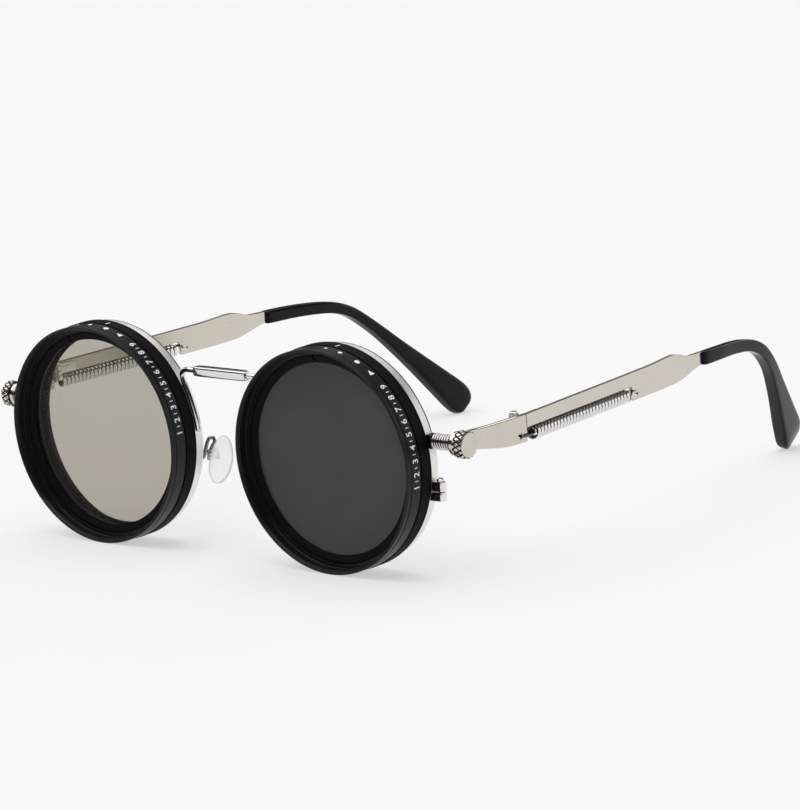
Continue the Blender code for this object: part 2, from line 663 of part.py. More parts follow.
# ------------------------------------------------------------------ the bridge
def bridge_half():
    """Right half of the bridge wire: leg along the eyewire, bend, then the bar."""
    reach = RIM_OUTER_R * RING_FIT + BRIDGE_WIRE_R + 0.12
    pts = []
    for k in range(7):
        a = math.radians(4.0 + (28.5 - 4.0) * k / 6)
        pts.append((RING_CENTRE_X - reach * math.cos(a), BRIDGE_LEG_Y, reach * math.sin(a)))
    pts += [(13.4, BRIDGE_LEG_Y, 13.95), (13.5, 8.97, 14.7), (13.25, 8.9, 15.35), (12.65, 8.8, 15.85),
            (11.7, 8.63, 16.15), (10.6, 8.4, BRIDGE_Z), (8.4, BRIDGE_Y, BRIDGE_Z)]
    return pts


half = bridge_half()
bridge_points = half + [(-x, y, z) for x, y, z in reversed(half)]
bridge_wire = add(wire("bridge_wire", bridge_points, BRIDGE_WIRE_R, 2), "bridge_wire", "bridge_wire")
bridge_bar = turned("bridge_bar", "bridge_bar",
                    [(1.1, BRIDGE_BAR_HALF), (BRIDGE_BAR_R, BRIDGE_BAR_HALF - 0.5),
                     (BRIDGE_BAR_R, -BRIDGE_BAR_HALF + 0.5), (1.1, -BRIDGE_BAR_HALF),
                     (0.76, -BRIDGE_BAR_HALF), (0.76, BRIDGE_BAR_HALF)],
                    (0.0, BRIDGE_Y, BRIDGE_Z), "X", TINY_SEGMENTS)

# --------------------------------------------------------------- the nose pads
arm_points = [(11.7, RIM_BACK_Y + 0.1, -5.75), (11.7, 11.6, -5.75)] + smooth_path([
    (11.72, 11.85, -5.5), (11.85, 12.7, -4.2), (11.95, 13.55, -2.7), (11.8, 14.3, -1.75),
    (11.2, 14.95, -1.75), (10.85, 15.0, -2.6), (11.2, 14.6, -3.5), (11.62, PAD_Y, -4.7)], 2)
arm = add(wire("left_nose_pad_arm", arm_points, 0.45, 1), "left_nose_pad_arm", "nose_pad_arm")
clip = cutter(box("pad_clip", 9.95, 12.0, PAD_Y - 1.25, PAD_Y + 1.25, PAD_PIN_Z - 1.3, PAD_PIN_Z + 1.3),
              "pad_clip")
clip_slot = cutter(box("pad_clip_slot", 9.0, 11.35, PAD_Y - 0.8, PAD_Y + 0.8, PAD_PIN_Z - 2.0,
                       PAD_PIN_Z + 2.0), "pad_clip_slot")
clip_hole = cutter(cylinder("pad_clip_hole", 0.36, (PAD_PIN_X, PAD_Y - 3.0, PAD_PIN_Z),
                            (PAD_PIN_X, PAD_Y + 3.0, PAD_PIN_Z), 12), "pad_clip_hole")
boolean(arm, clip, "UNION")
boolean(arm, clip_slot)
boolean(arm, clip_hole)
pad_screw = turned("left_nose_pad_screw", "nose_pad_screw",
                   [(0.0, 1.75), (0.55, 1.75), (0.55, 1.33), (0.29, 1.33), (0.29, -1.4), (0.0, -1.4)],
                   (PAD_PIN_X, PAD_Y, PAD_PIN_Z), "Y", 12, closed=False)

pad_axis = pivot("left_pad_axis", PAD_PIN_X, PAD_Y, PAD_PIN_Z)
PAD_TILT = math.radians(12.0)
bm = bmesh.new()
bmesh.ops.create_uvsphere(bm, u_segments=16, v_segments=10, radius=1.0)
for v in bm.verts:
    flat = v.co.x * (1.05 if v.co.x < 0 else 0.75)
    v.co = Vector((flat * MM, v.co.y * 3.95 * MM, v.co.z * 6.1 * MM))
pad_tilt = Matrix.Translation(Vector((8.55, PAD_Y, -6.6)) * MM) @ Matrix.Rotation(-PAD_TILT, 4, "Y")
bm.transform(pad_tilt)
pad_mesh = bpy.data.meshes.new("left_nose_pad")
bm.to_mesh(pad_mesh)
bm.free()
pad = add(pad_mesh, "left_nose_pad", "nose_pad", pad_axis)
tab = cutter(box("pad_tab", 8.9, 11.1, PAD_Y - 0.7, PAD_Y + 0.7, PAD_PIN_Z - 0.75, PAD_PIN_Z + 0.75),
             "pad_tab")
tab_hole = cutter(cylinder("pad_tab_hole", 0.38, (PAD_PIN_X, PAD_Y - 3.0, PAD_PIN_Z),
                           (PAD_PIN_X, PAD_Y + 3.0, PAD_PIN_Z), 12), "pad_tab_hole")
boolean(pad, tab, "UNION")
boolean(pad, tab_hole)

# -------------------------------------------- the wearer's right-hand pieces
right_hinge = pivot("right_hinge_axis", -HINGE_X, HINGE_Y, 0.0)
right_nut = pivot("right_nut_axis", -NUT_FACE_X, STUD_Y, STUD_Z)
right_pad = pivot("right_pad_axis", -PAD_PIN_X, PAD_Y, PAD_PIN_Z)
for source, kind, parent in (
        (upper, "closing_block_upper", None), (lower, "closing_block_lower", None),
        (closing_screw, "closing_screw", None), (block, "end_block", None),
        (stud, "end_stud", None), (nut, "thumb_nut", right_nut), (end_plate, "end_plate", None),
        (front_leaf, "hinge_leaf_front", None), (hinge_screw, "hinge_screw", None),
        (rear_leaf, "hinge_leaf_temple", right_hinge), (temple, "temple", right_hinge),
        (tip, "temple_tip", right_hinge), (spring, "spring", right_hinge),
        (arm, "nose_pad_arm", None), (pad_screw, "nose_pad_screw", None),
        (pad, "nose_pad", right_pad)):
    mirrored(source, "right_" + kind, kind, parent)
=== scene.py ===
"""Looks of the round sunglasses with turning dimmer rings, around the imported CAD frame.

Shapes are written in millimetres in the frame of the eyewear front (ring axes
along Y at x = +-36.55, z = 0, y = 0 on the front of the turning rings) and are
then put into the row frame, in metres, by world().
"""
import math

import bmesh
import bpy
import numpy as np
from mathutils import Matrix, Vector

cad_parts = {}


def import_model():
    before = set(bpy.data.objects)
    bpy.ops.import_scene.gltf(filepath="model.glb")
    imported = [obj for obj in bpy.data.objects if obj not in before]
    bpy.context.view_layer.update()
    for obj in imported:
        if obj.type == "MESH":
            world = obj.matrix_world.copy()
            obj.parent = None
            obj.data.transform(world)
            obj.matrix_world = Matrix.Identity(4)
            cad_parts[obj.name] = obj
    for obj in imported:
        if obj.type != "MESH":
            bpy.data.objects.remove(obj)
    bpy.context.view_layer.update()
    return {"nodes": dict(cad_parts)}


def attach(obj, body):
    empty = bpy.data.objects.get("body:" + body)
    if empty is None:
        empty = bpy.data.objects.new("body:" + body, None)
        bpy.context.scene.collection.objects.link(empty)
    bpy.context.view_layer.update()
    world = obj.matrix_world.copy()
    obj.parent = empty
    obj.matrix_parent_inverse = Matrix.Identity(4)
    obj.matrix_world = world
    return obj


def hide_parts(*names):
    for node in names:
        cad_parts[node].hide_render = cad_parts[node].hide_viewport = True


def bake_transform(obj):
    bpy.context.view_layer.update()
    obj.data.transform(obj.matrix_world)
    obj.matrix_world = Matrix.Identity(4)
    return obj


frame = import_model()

# ------------------------------------------------------------------ the frame
MM = 0.001
LEAN = math.radians(1.4991)
SHIFT, LIFT = -78.4541, 26.41664
CL, SL = math.cos(LEAN), math.sin(LEAN)
RING_X = 36.55
TAU = 2 * math.pi


def world(points):
    """Front-frame millimetres to row-frame metres."""
    p = np.asarray(points, float).reshape(-1, 3)
    out = np.empty_like(p)
    out[:, 0] = p[:, 0]
    out[:, 1] = p[:, 1] * CL - p[:, 2] * SL + SHIFT
    out[:, 2] = p[:, 1] * SL + p[:, 2] * CL + LIFT
    return out * MM


def turned(v):
    """A front-frame direction in the row frame."""
    return Vector((v[0], v[1] * CL - v[2] * SL, v[1] * SL + v[2] * CL))


# ------------------------------------------------------------------ mesh tools
class Shape:
    """Collects vertices and faces in front-frame millimetres."""

    def __init__(self):
        self.v, self.f, self.count = [], [], 0

    def add(self, verts, faces):
        verts = np.asarray(verts, float).reshape(-1, 3)
        base = self.count
        self.v.append(verts)
        self.f += [tuple(i + base for i in f) for f in faces]
        self.count += len(verts)
        return self

    def verts(self):
        return np.concatenate(self.v)


def grid_faces(rows, cols, wrap_rows=False, wrap_cols=True):
    faces = []
    for i in range(rows if wrap_rows else rows - 1):
        a, b = i * cols, ((i + 1) % rows) * cols
        for j in range(cols if wrap_cols else cols - 1):
            k = (j + 1) % cols
            faces.append((a + j, a + k, b + k, b + j))
    return faces


def rounded(points, radius=0.08, steps=3, closed=True):
    """A profile with its corners rounded; a third value on a point is its own radius."""
    pts = [np.array(p[:2], float) for p in points]
    rad = [p[2] if len(p) > 2 else radius for p in points]
    out, n = [], len(pts)
    for i, p in enumerate(pts):
        if (not closed and i in (0, n - 1)) or rad[i] <= 0:
            out.append(p)
            continue
        u, w = pts[i - 1] - p, pts[(i + 1) % n] - p
        lu, lw = np.linalg.norm(u), np.linalg.norm(w)
        u, w = u / lu, w / lw
        ang = math.acos(max(-1.0, min(1.0, float(u @ w))))
        if ang > math.radians(174):
            out.append(p)
            continue
        t = min(rad[i] / math.tan(ang / 2), 0.4 * lu, 0.4 * lw)
        r = t * math.tan(ang / 2)
        mid = (u + w) / np.linalg.norm(u + w)
        centre = p + mid * (r / math.sin(ang / 2))
        p0, p1 = p + u * t, p + w * t
        a, b = p0 - centre, p1 - centre
        span = math.pi - ang
        sup = 0.2 * t + 0.01
        out.append(p0 + u * min(sup, 0.08 * lu))
        for k in range(steps + 1):
            s = k / steps
            out.append(centre + (a * math.sin((1 - s) * span) + b * math.sin(s * span)) / math.sin(span))
        out.append(p1 + w * min(sup, 0.08 * lw))
    return out


def place(axis, centre, r, h, a):
    """Points at radius r, height h and angle a of a turned shape."""
    x, y, z = centre
    r, h, a = np.broadcast_arrays(np.asarray(r, float), np.asarray(h, float), np.asarray(a, float))
    c, s = r * np.cos(a), r * np.sin(a)
    if axis == "Y":
        return np.stack([x + c, y + h, z + s], -1)
    if axis == "X":
        return np.stack([x + h, y + c, z + s], -1)
    return np.stack([x + c, y + s, z + h], -1)


def turn(profile, centre, axis, n, closed=True, shape=None):
    """Turns (radius, height) points. Open profiles start and end on the axis."""
    shape = shape or Shape()
    prof = np.array([p[:2] for p in profile], float)
    if closed:
        a = np.arange(n) / n * TAU
        pts = place(axis, centre, prof[:, :1], prof[:, 1:2], a[None, :])
        return shape.add(pts, grid_faces(len(prof), n, wrap_rows=True))
    a = np.arange(n) / n * TAU
    mid = prof[1:-1]
    pts = place(axis, centre, mid[:, :1], mid[:, 1:2], a[None, :]).reshape(-1, 3)
    ends = place(axis, centre, np.zeros(2), prof[[0, -1], 1], np.zeros(2))
    faces = grid_faces(len(mid), n)
    first, last = len(pts), len(pts) + 1
    row = (len(mid) - 1) * n
    for j in range(n):
        k = (j + 1) % n
        faces.append((first, k, j))
        faces.append((last, row + j, row + k))
    return shape.add(np.concatenate([pts, ends]), faces)


def frames_along(path, up=(0.0, 0.0, 1.0)):
    """Rotation-minimising frames of a path."""
    p = np.asarray(path, float)
    t = np.gradient(p, axis=0)
    t /= np.linalg.norm(t, axis=1)[:, None]
    u = np.array(up, float)
    if abs(t[0] @ u) > 0.9:
        u = np.array((1.0, 0.0, 0.0))
    n0 = u - (u @ t[0]) * t[0]
    n0 /= np.linalg.norm(n0)
    ns = [n0]
    for i in range(1, len(p)):
        v = ns[-1]
        axis = np.cross(t[i - 1], t[i])
        m = np.linalg.norm(axis)
        if m > 1e-9:
            axis = axis / m
            ang = math.atan2(m, float(t[i - 1] @ t[i]))
            v = v * math.cos(ang) + np.cross(axis, v) * math.sin(ang) + axis * (axis @ v) * (1 - math.cos(ang))
        v = v - (v @ t[i]) * t[i]
        ns.append(v / np.linalg.norm(v))
    ns = np.array(ns)
    return t, ns, np.cross(t, ns)


def sweep(path, radius, sides=16, dome=0.5, shape=None):
    """A round wire along a path, with soft domed ends."""
    p = np.asarray(path, float)
    t, n, b = frames_along(p)
    r = np.broadcast_to(np.asarray(radius, float), (len(p),)).copy()
    a = np.arange(sides) / sides * TAU
    rows = [p[i] + r[i] * (np.cos(a)[:, None] * n[i] + np.sin(a)[:, None] * b[i]) for i in range(len(p))]
    caps = []
    for end, sign in ((0, -1.0), (len(p) - 1, 1.0)):
        cap = []
        for q in (0.35, 0.7, 0.92):
            shrink = math.sqrt(1 - q * q)
            cap.append(p[end] + t[end] * sign * q * dome * r[end]
                       + r[end] * shrink * (np.cos(a)[:, None] * n[end] + np.sin(a)[:, None] * b[end]))
        caps.append(cap)
    rows = list(reversed(caps[0])) + rows + caps[1]
    shape = shape or Shape()
    tips = [p[0] - t[0] * dome * r[0], p[-1] + t[-1] * dome * r[-1]]
    faces = grid_faces(len(rows), sides)
    m = len(rows) * sides
    last = (len(rows) - 1) * sides
    for j in range(sides):
        k = (j + 1) % sides
        faces.append((m, k, j))
        faces.append((m + 1, last + j, last + k))
    return shape.add(np.concatenate(rows + [np.array(tips)]), faces)


def smooth(points, per_span):
    """Catmull-Rom through the points."""
    pts = [np.array(p, float) for p in points]
    ext = [2 * pts[0] - pts[1]] + pts + [2 * pts[-1] - pts[-2]]
    out = []
    for i in range(1, len(ext) - 2):
        p0, p1, p2, p3 = ext[i - 1:i + 3]
        for k in range(per_span):
            t = k / per_span
            out.append(0.5 * (2 * p1 + (p2 - p0) * t + (2 * p0 - 5 * p1 + 4 * p2 - p3) * t * t
                              + (3 * p1 - p0 - 3 * p2 + p3) * t ** 3))
    out.append(pts[-1])
    return np.array(out)


def loft(rings, shape=None):
    """A closed body through rings of points; both ends are filled by a fan."""
    rings = [np.asarray(r, float) for r in rings]
    n, m = len(rings[0]), len(rings)
    faces = grid_faces(m, n)
    verts = np.concatenate(rings + [np.array([rings[0].mean(0), rings[-1].mean(0)])])
    last = (m - 1) * n
    for j in range(n):
        k = (j + 1) % n
        faces.append((m * n, k, j))
        faces.append((m * n + 1, last + j, last + k))
    return (shape or Shape()).add(verts, faces)


def block(limits, bevel, shape=None, segments=3):
    """A box with rounded edges."""
    bm = bmesh.new()
    bmesh.ops.create_cube(bm, size=1.0)
    x0, x1, y0, y1, z0, z1 = limits
    for v in bm.verts:
        v.co = Vector(((x0 + x1) / 2 + v.co.x * (x1 - x0), (y0 + y1) / 2 + v.co.y * (y1 - y0),
                       (z0 + z1) / 2 + v.co.z * (z1 - z0)))
    bmesh.ops.bevel(bm, geom=bm.edges[:], offset=bevel, segments=segments, profile=0.5, affect="EDGES")
    return take(bm, shape)


def take(bm, shape=None):
    bm.verts.index_update()
    verts = [v.co[:] for v in bm.verts]
    faces = [[v.index for v in f.verts] for f in bm.faces]
    bm.free()
    return (shape or Shape()).add(verts, faces)


def slab(outline, z_lo, z_hi, bevel, map_point, shape=None, steps=3):
    """A flat outline with thickness and rounded edges, carried by map_point(u, v, depth)."""
    pts = [np.array(p, float) for p in outline]
    area = sum(a[0] * b[1] - b[0] * a[1] for a, b in zip(pts, pts[1:] + pts[:1]))
    if area < 0:
        pts.reverse()
    n = len(pts)

    def inset(d):
        out = []
        for i in range(n):
            a, p, b = pts[i - 1], pts[i], pts[(i + 1) % n]
            e0, e1 = (p - a) / np.linalg.norm(p - a), (b - p) / np.linalg.norm(b - p)
            n0, n1 = np.array((-e0[1], e0[0])), np.array((-e1[1], e1[0]))
            m = n0 + n1
            m /= np.linalg.norm(m)
            out.append(p + m * d / max(0.45, float(m @ n0)))
        return out

    levels = []
    for k in range(steps + 1):
        a = math.pi / 2 * k / steps
        levels.append((bevel * (1 - math.sin(a)), z_lo + bevel * (1 - math.cos(a))))
    levels = levels + [(d, z_hi + z_lo - z) for d, z in reversed(levels)]
    levels = [(levels[0][0] + 0.03, levels[0][1])] + levels + [(levels[-1][0] + 0.03, levels[-1][1])]
    verts = []
    for d, z in levels:
        verts += [map_point(q[0], q[1], z) for q in inset(d)]
    faces = grid_faces(len(levels), n)
    faces.append(tuple(reversed(range(n))))
    faces.append(tuple(range((len(levels) - 1) * n, len(levels) * n)))
    return (shape or Shape()).add(verts, faces)


def mesh_of(name, shape, mirror=False):
    verts = shape.verts().copy()
    if mirror:
        verts[:, 0] *= -1
    mesh = bpy.data.meshes.new(name)
    mesh.from_pydata(world(verts).tolist(), [], shape.f)
    bm = bmesh.new()
    bm.from_mesh(mesh)
    bmesh.ops.recalc_face_normals(bm, faces=bm.faces)
    bm.to_mesh(mesh)
    bm.free()
    return mesh


def cut(mesh, *cutters, operation="DIFFERENCE"):
    """Exact boolean of meshes already in the row frame."""
    holder = bpy.data.objects.new("cut_holder", mesh)
    bpy.context.scene.collection.objects.link(holder)
    others = []
    for c in cutters:
        other = bpy.data.objects.new("cut_tool", c)
        bpy.context.scene.collection.objects.link(other)
        mod = holder.modifiers.new("cut", "BOOLEAN")
        mod.operation, mod.object, mod.solver = operation, other, "EXACT"
        others.append(other)
    bpy.context.view_layer.update()
    made = bpy.data.meshes.new_from_object(holder.evaluated_get(bpy.context.evaluated_depsgraph_get()))
    for o in [holder] + others:
        bpy.data.objects.remove(o, do_unlink=True)
    return made


def piece(name, mesh, body, nodes, material, sharp=32.0, blend=None):
    """Makes a mesh a piece of the object."""
    mesh.name = name
    mesh.materials.clear()
    mesh.materials.append(material)
    mesh.shade_smooth()
    mesh.set_sharp_from_angle(angle=math.radians(sharp))
    obj = bpy.data.objects.new(name, mesh)
    bpy.context.scene.collection.objects.link(obj)
    if blend:
        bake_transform(obj)
    else:
        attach(obj, body)
    if nodes:
        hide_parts(*nodes)
    return obj


def weighted(obj):
    mod = obj.modifiers.new("weighted", "WEIGHTED_NORMAL")
    mod.keep_sharp = True
    mod.weight = 80
    return obj


# ------------------------------------------------------------------- materials
class Nodes:
    """A small writer of node trees."""

    def __init__(self, name):
        self.mat = bpy.data.materials.new(name)
        self.mat.use_nodes = True
        self.tree = self.mat.node_tree
        self.shader = self.tree.nodes["Principled BSDF"]
        self.coords = self.add("ShaderNodeTexCoord").outputs["Object"]

    def add(self, kind, **values):
        node = self.tree.nodes.new(kind)
        for k, v in values.items():
            if hasattr(node, k) and k not in node.inputs:
                setattr(node, k, v)
            else:
                node.inputs[k].default_value = v
        return node

    def link(self, a, b):
        self.tree.links.new(a, b)

    def scaled(self, scale, rotation=(0.0, 0.0, 0.0)):
        m = self.add("ShaderNodeMapping")
        m.inputs["Scale"].default_value = scale
        m.inputs["Rotation"].default_value = rotation
        self.link(self.coords, m.inputs["Vector"])
        return m.outputs["Vector"]

    def noise(self, vector, scale, detail=3.0, roughness=0.55):
        n = self.add("ShaderNodeTexNoise")
        n.inputs["Scale"].default_value = scale
        n.inputs["Detail"].default_value = detail
        n.inputs["Roughness"].default_value = roughness
        self.link(vector, n.inputs["Vector"])
        return n.outputs["Fac"]

    def span(self, value, lo, hi, from_lo=0.3, from_hi=0.7):
        m = self.add("ShaderNodeMapRange")
        m.inputs["From Min"].default_value = from_lo
        m.inputs["From Max"].default_value = from_hi
        m.inputs["To Min"].default_value = lo
        m.inputs["To Max"].default_value = hi
        self.link(value, m.inputs["Value"])
        return m.outputs["Result"]

    def ramp(self, value, stops):
        r = self.add("ShaderNodeValToRGB")
        els = r.color_ramp.elements
        while len(els) < len(stops):
            els.new(0.5)
        for e, (pos, col) in zip(els, stops):
            e.position = pos
            e.color = (*col, 1.0)
        self.link(value, r.inputs["Fac"])
        return r.outputs["Color"]

    def math(self, op, a, b=None):
        m = self.add("ShaderNodeMath")
        m.operation = op
        for i, x in enumerate((a, b)):
            if x is None:
                continue
            if isinstance(x, (int, float)):
                m.inputs[i].default_value = x
            else:
                self.link(x, m.inputs[i])
        return m.outputs[0]

    def bump(self, height, strength, distance, normal=None):
        b = self.add("ShaderNodeBump")
        b.inputs["Strength"].default_value = strength
        b.inputs["Distance"].default_value = distance
        self.link(height, b.inputs["Height"])
        if normal is not None:
            self.link(normal, b.inputs["Normal"])
        return b.outputs["Normal"]

    def set(self, **values):
        for k, v in values.items():
            name = k.replace("_", " ")
            socket = self.shader.inputs[name]
            if hasattr(v, "is_linked") or isinstance(v, bpy.types.NodeSocket):
                self.link(v, socket)
            else:
                socket.default_value = v
        return self

    def radius_from(self, x):
        """Distance from a ring's axis, in metres, from object coordinates."""
        s = self.add("ShaderNodeSeparateXYZ")
        self.link(self.coords, s.inputs[0])
        dx = self.math("SUBTRACT", s.outputs[0], x * MM)
        y = self.math("ADD", s.outputs[1], -SHIFT * MM)
        z = self.math("SUBTRACT", s.outputs[2], LIFT * MM)
        # undo the lean
        zz = self.math("SUBTRACT", self.math("MULTIPLY", z, CL), self.math("MULTIPLY", y, SL))
        yy = self.math("ADD", self.math("MULTIPLY", y, CL), self.math("MULTIPLY", z, SL))
        r2 = self.math("ADD", self.math("MULTIPLY", dx, dx), self.math("MULTIPLY", zz, zz))
        return self.math("SQRT", r2), yy, dx, zz


def metal(name, color, dark, rough, streak=(1.0, 1.0, 1.0), streak_strength=0.12, spread=0.05,
          rotation=(0.0, 0.0, 0.0), fine=2600.0):
    """Plated metal: drawn streaks, faint clouding and small handling marks."""
    m = Nodes(name)
    cloud = m.noise(m.coords, 90.0, 4.0, 0.6)
    lines = m.noise(m.scaled(streak, rotation), fine, 3.0, 0.6)
    marks = m.noise(m.coords, 900.0, 5.0, 0.7)
    base = m.ramp(m.math("ADD", m.math("MULTIPLY", cloud, 0.6), m.math("MULTIPLY", lines, 0.4)),
                  [(0.30, dark), (0.72, color)])
    mixed = m.math("ADD", m.math("MULTIPLY", cloud, 0.5), m.math("MULTIPLY", marks, 0.5))
    normal = m.bump(lines, streak_strength, 0.00002)
    normal = m.bump(marks, streak_strength * 0.35, 0.00003, normal)
    m.set(Base_Color=base, Metallic=1.0, Roughness=m.span(mixed, rough - spread, rough + spread), Normal=normal)
    return m.mat


def grooved(name, color, groove, rough, centre, bounds, bevel=None):
    """Metal with painted shade in the grooves of a thread or a knurl, darker by their depth below the crests."""
    m = Nodes(name)
    s = m.add("ShaderNodeSeparateXYZ")
    m.link(m.coords, s.inputs[0])
    y = m.math("ADD", s.outputs[1], -SHIFT * MM)
    z = m.math("SUBTRACT", s.outputs[2], LIFT * MM)
    zz = m.math("SUBTRACT", m.math("SUBTRACT", m.math("MULTIPLY", z, CL), m.math("MULTIPLY", y, SL)), centre[1] * MM)
    yy = m.math("SUBTRACT", m.math("ADD", m.math("MULTIPLY", y, CL), m.math("MULTIPLY", z, SL)), centre[0] * MM)
    r = m.math("SQRT", m.math("ADD", m.math("MULTIPLY", yy, yy), m.math("MULTIPLY", zz, zz)))
    if bevel:
        crest = m.math("MINIMUM", bevel[1] * MM, m.math("ADD", bevel[0] * MM, m.math(
            "MULTIPLY", m.math("SUBTRACT", bevel[2] * MM, m.math("ABSOLUTE", s.outputs[0])), bevel[3])))
        below = m.math("SUBTRACT", crest, r)
        face = m.math("GREATER_THAN", r, (bevel[0] + 0.06) * MM)
        below = m.math("MULTIPLY", below, face)
    else:
        below = m.math("SUBTRACT", bounds[2] * MM, r)
    # painted shade: the deeper below the crests, the nearer the colour goes to the groove colour
    groove_shade = m.span(below, 0.0, 1.0, bounds[0] * MM, bounds[1] * MM)
    fine = m.noise(m.coords, 1800.0, 3.0, 0.6)
    cloud = m.noise(m.coords, 300.0, 3.0, 0.6)
    mix = m.add("ShaderNodeMix")
    mix.data_type = "RGBA"
    m.link(groove_shade, mix.inputs["Factor"])
    m.link(m.ramp(cloud, [(0.3, tuple(c * 0.88 for c in color)), (0.7, color)]), mix.inputs[6])
    m.link(m.ramp(fine, [(0.3, tuple(c * 0.6 for c in groove)), (0.7, groove)]), mix.inputs[7])
    m.set(Base_Color=mix.outputs[2], Metallic=1.0, Roughness=m.span(cloud, rough - 0.02, rough + 0.04),
          Normal=m.bump(fine, 0.03, 0.00002))
    return m.mat


def ring_black(name, x, rough, base, lift, shine):
    """Black anodised aluminium with turning marks from the lathe."""
    m = Nodes(name)
    r, y, dx, zz = m.radius_from(x)
    v = m.add("ShaderNodeCombineXYZ")
    m.link(m.math("MULTIPLY", r, 1.0), v.inputs[0])
    m.link(y, v.inputs[1])
    ang = m.math("MULTIPLY", m.math("ARCTAN2", zz, dx), 0.0006)
    m.link(ang, v.inputs[2])
    lathe = m.noise(v.outputs[0], 9000.0, 2.0, 0.5)
    grain = m.noise(m.coords, 5200.0, 3.0, 0.65)
    cloud = m.noise(m.coords, 160.0, 3.0, 0.5)
    col = m.ramp(m.math("ADD", m.math("MULTIPLY", grain, 0.5), m.math("MULTIPLY", cloud, 0.5)),
                 [(0.35, base), (0.68, lift)])
    normal = m.bump(lathe, 0.10, 0.00002)
    normal = m.bump(grain, 0.10, 0.00002, normal)
    m.set(Base_Color=col, Metallic=0.0, Roughness=m.span(cloud, rough - 0.04, rough + 0.05), Normal=normal)
    m.shader.inputs["Specular IOR Level"].default_value = shine
    return m.mat


def lens_glass(name, color, share, film, ior):
    """Polarising disc: a faintly toned film that light passes, mixed with the glossy surface of the glass."""
    m = Nodes(name)
    cloud = m.noise(m.coords, 60.0, 2.0, 0.5)
    col = m.ramp(cloud, [(0.35, tuple(c * 0.95 for c in color)), (0.65, tuple(c * 1.05 for c in color))])
    m.set(Base_Color=col, Metallic=0.0, Roughness=m.span(cloud, 0.03, 0.06))
    m.shader.inputs["IOR"].default_value = ior
    clear = m.add("ShaderNodeBsdfTransparent")
    s = m.add("ShaderNodeSeparateXYZ")
    m.link(m.coords, s.inputs[0])
    height = m.span(s.outputs[2], 0.0, 1.0, (LIFT - 22.0) * MM, (LIFT + 22.0) * MM)
    # the passed tone goes from the first film colour low on the disc to the second higher up; on the clear discs it is
    # warmer and a little darker towards the bottom
    m.link(m.ramp(height, [(0.40, film[0]), (0.75, film[1])]), clear.inputs["Color"])
    mix = m.add("ShaderNodeMixShader")
    mix.inputs["Fac"].default_value = share
    m.link(clear.outputs[0], mix.inputs[1])
    m.link(m.shader.outputs[0], mix.inputs[2])
    m.link(mix.outputs[0], m.tree.nodes["Material Output"].inputs["Surface"])
    return m.mat


def front_frame(m):
    """Depth and height in the front frame, as nodes, in row-frame metres."""
    s = m.add("ShaderNodeSeparateXYZ")
    m.link(m.coords, s.inputs[0])
    y = m.math("SUBTRACT", s.outputs[1], SHIFT * MM)
    z = m.math("SUBTRACT", s.outputs[2], LIFT * MM)
    return (m.math("ADD", m.math("MULTIPLY", y, CL), m.math("MULTIPLY", z, SL)),
            m.math("SUBTRACT", m.math("MULTIPLY", z, CL), m.math("MULTIPLY", y, SL)))


def blend(m, factor, a, b):
    mix = m.add("ShaderNodeMix")
    mix.data_type = "RGBA"
    m.link(factor, mix.inputs["Factor"])
    m.link(a, mix.inputs[6])
    m.link(b, mix.inputs[7])
    return mix.outputs[2]


def eyewire_silver():
    """Silver with a painted dark reflection line near the rear edge of the eyewire's band, on its upper part."""
    m = Nodes("eyewire_silver")
    depth, height = front_frame(m)
    band = m.span(depth, 0.0, 1.0, 8.35 * MM, 11.15 * MM)
    fine = m.noise(m.coords, 900.0, 3.0, 0.6)
    plain = m.ramp(fine, [(0.3, (0.82, 0.81, 0.78)), (0.7, (0.88, 0.865, 0.835))])
    # painted reflection: a near-black line across the band's depth, standing in for a dark reflection
    painted_reflection_line = m.ramp(band, [(0.0, (0.86, 0.845, 0.815)), (0.79, (0.86, 0.845, 0.815)), (0.82, (0.05, 0.05, 0.048)),
                          (0.935, (0.05, 0.05, 0.048)), (0.95, (0.86, 0.845, 0.815))])
    # the painted reflection line fades in between 4.5 and 8 mm height, so only the upper part of the eyewire carries it
    m.set(Base_Color=blend(m, m.span(height, 0.0, 1.0, 4.5 * MM, 8.0 * MM), plain, painted_reflection_line),
          Metallic=1.0, Roughness=m.span(fine, 0.40, 0.46))
    return m.mat


def bar_silver():
    """Bright bar with painted dark reflection lines along its top and its lower edge, and a painted greyer top."""
    m = Nodes("bar_silver")
    depth, height = front_frame(m)
    fine = m.noise(m.coords, 900.0, 3.0, 0.6)
    # painted reflection: the front face goes near-black along its lower edge
    side = m.ramp(m.span(height, 0.0, 1.0, 15.06 * MM, 17.54 * MM),
                  [(0.0, (0.02, 0.02, 0.02)), (0.13, (0.02, 0.02, 0.02)), (0.17, (0.72, 0.71, 0.68)), (1.0, (0.78, 0.77, 0.74))])
    # painted reflection: the top is greyed and crossed by a near-black line
    top = m.ramp(m.span(depth, 0.0, 1.0, 6.96 * MM, 9.44 * MM),
                 [(0.0, (0.30, 0.295, 0.28)), (0.60, (0.30, 0.295, 0.28)), (0.64, (0.012, 0.012, 0.012)), (0.86, (0.012, 0.012, 0.012)),
                  (0.90, (0.70, 0.69, 0.66))])
    m.set(Base_Color=blend(m, m.span(height, 0.0, 1.0, 17.30 * MM, 17.38 * MM), side, top), Metallic=1.0,
          Roughness=m.span(fine, 0.11, 0.15), Normal=m.bump(fine, 0.02, 0.00002))
    return m.mat


SATIN = metal("satin_silver", (0.660, 0.607, 0.538), (0.595, 0.546, 0.482), 0.15, streak=(1.0, 0.035, 1.0),
              streak_strength=0.07, spread=0.03)
POLISHED = metal("polished_silver", (0.83, 0.81, 0.78), (0.74, 0.72, 0.69), 0.13,
                 streak=(1.0, 1.0, 1.0), streak_strength=0.03, spread=0.03)
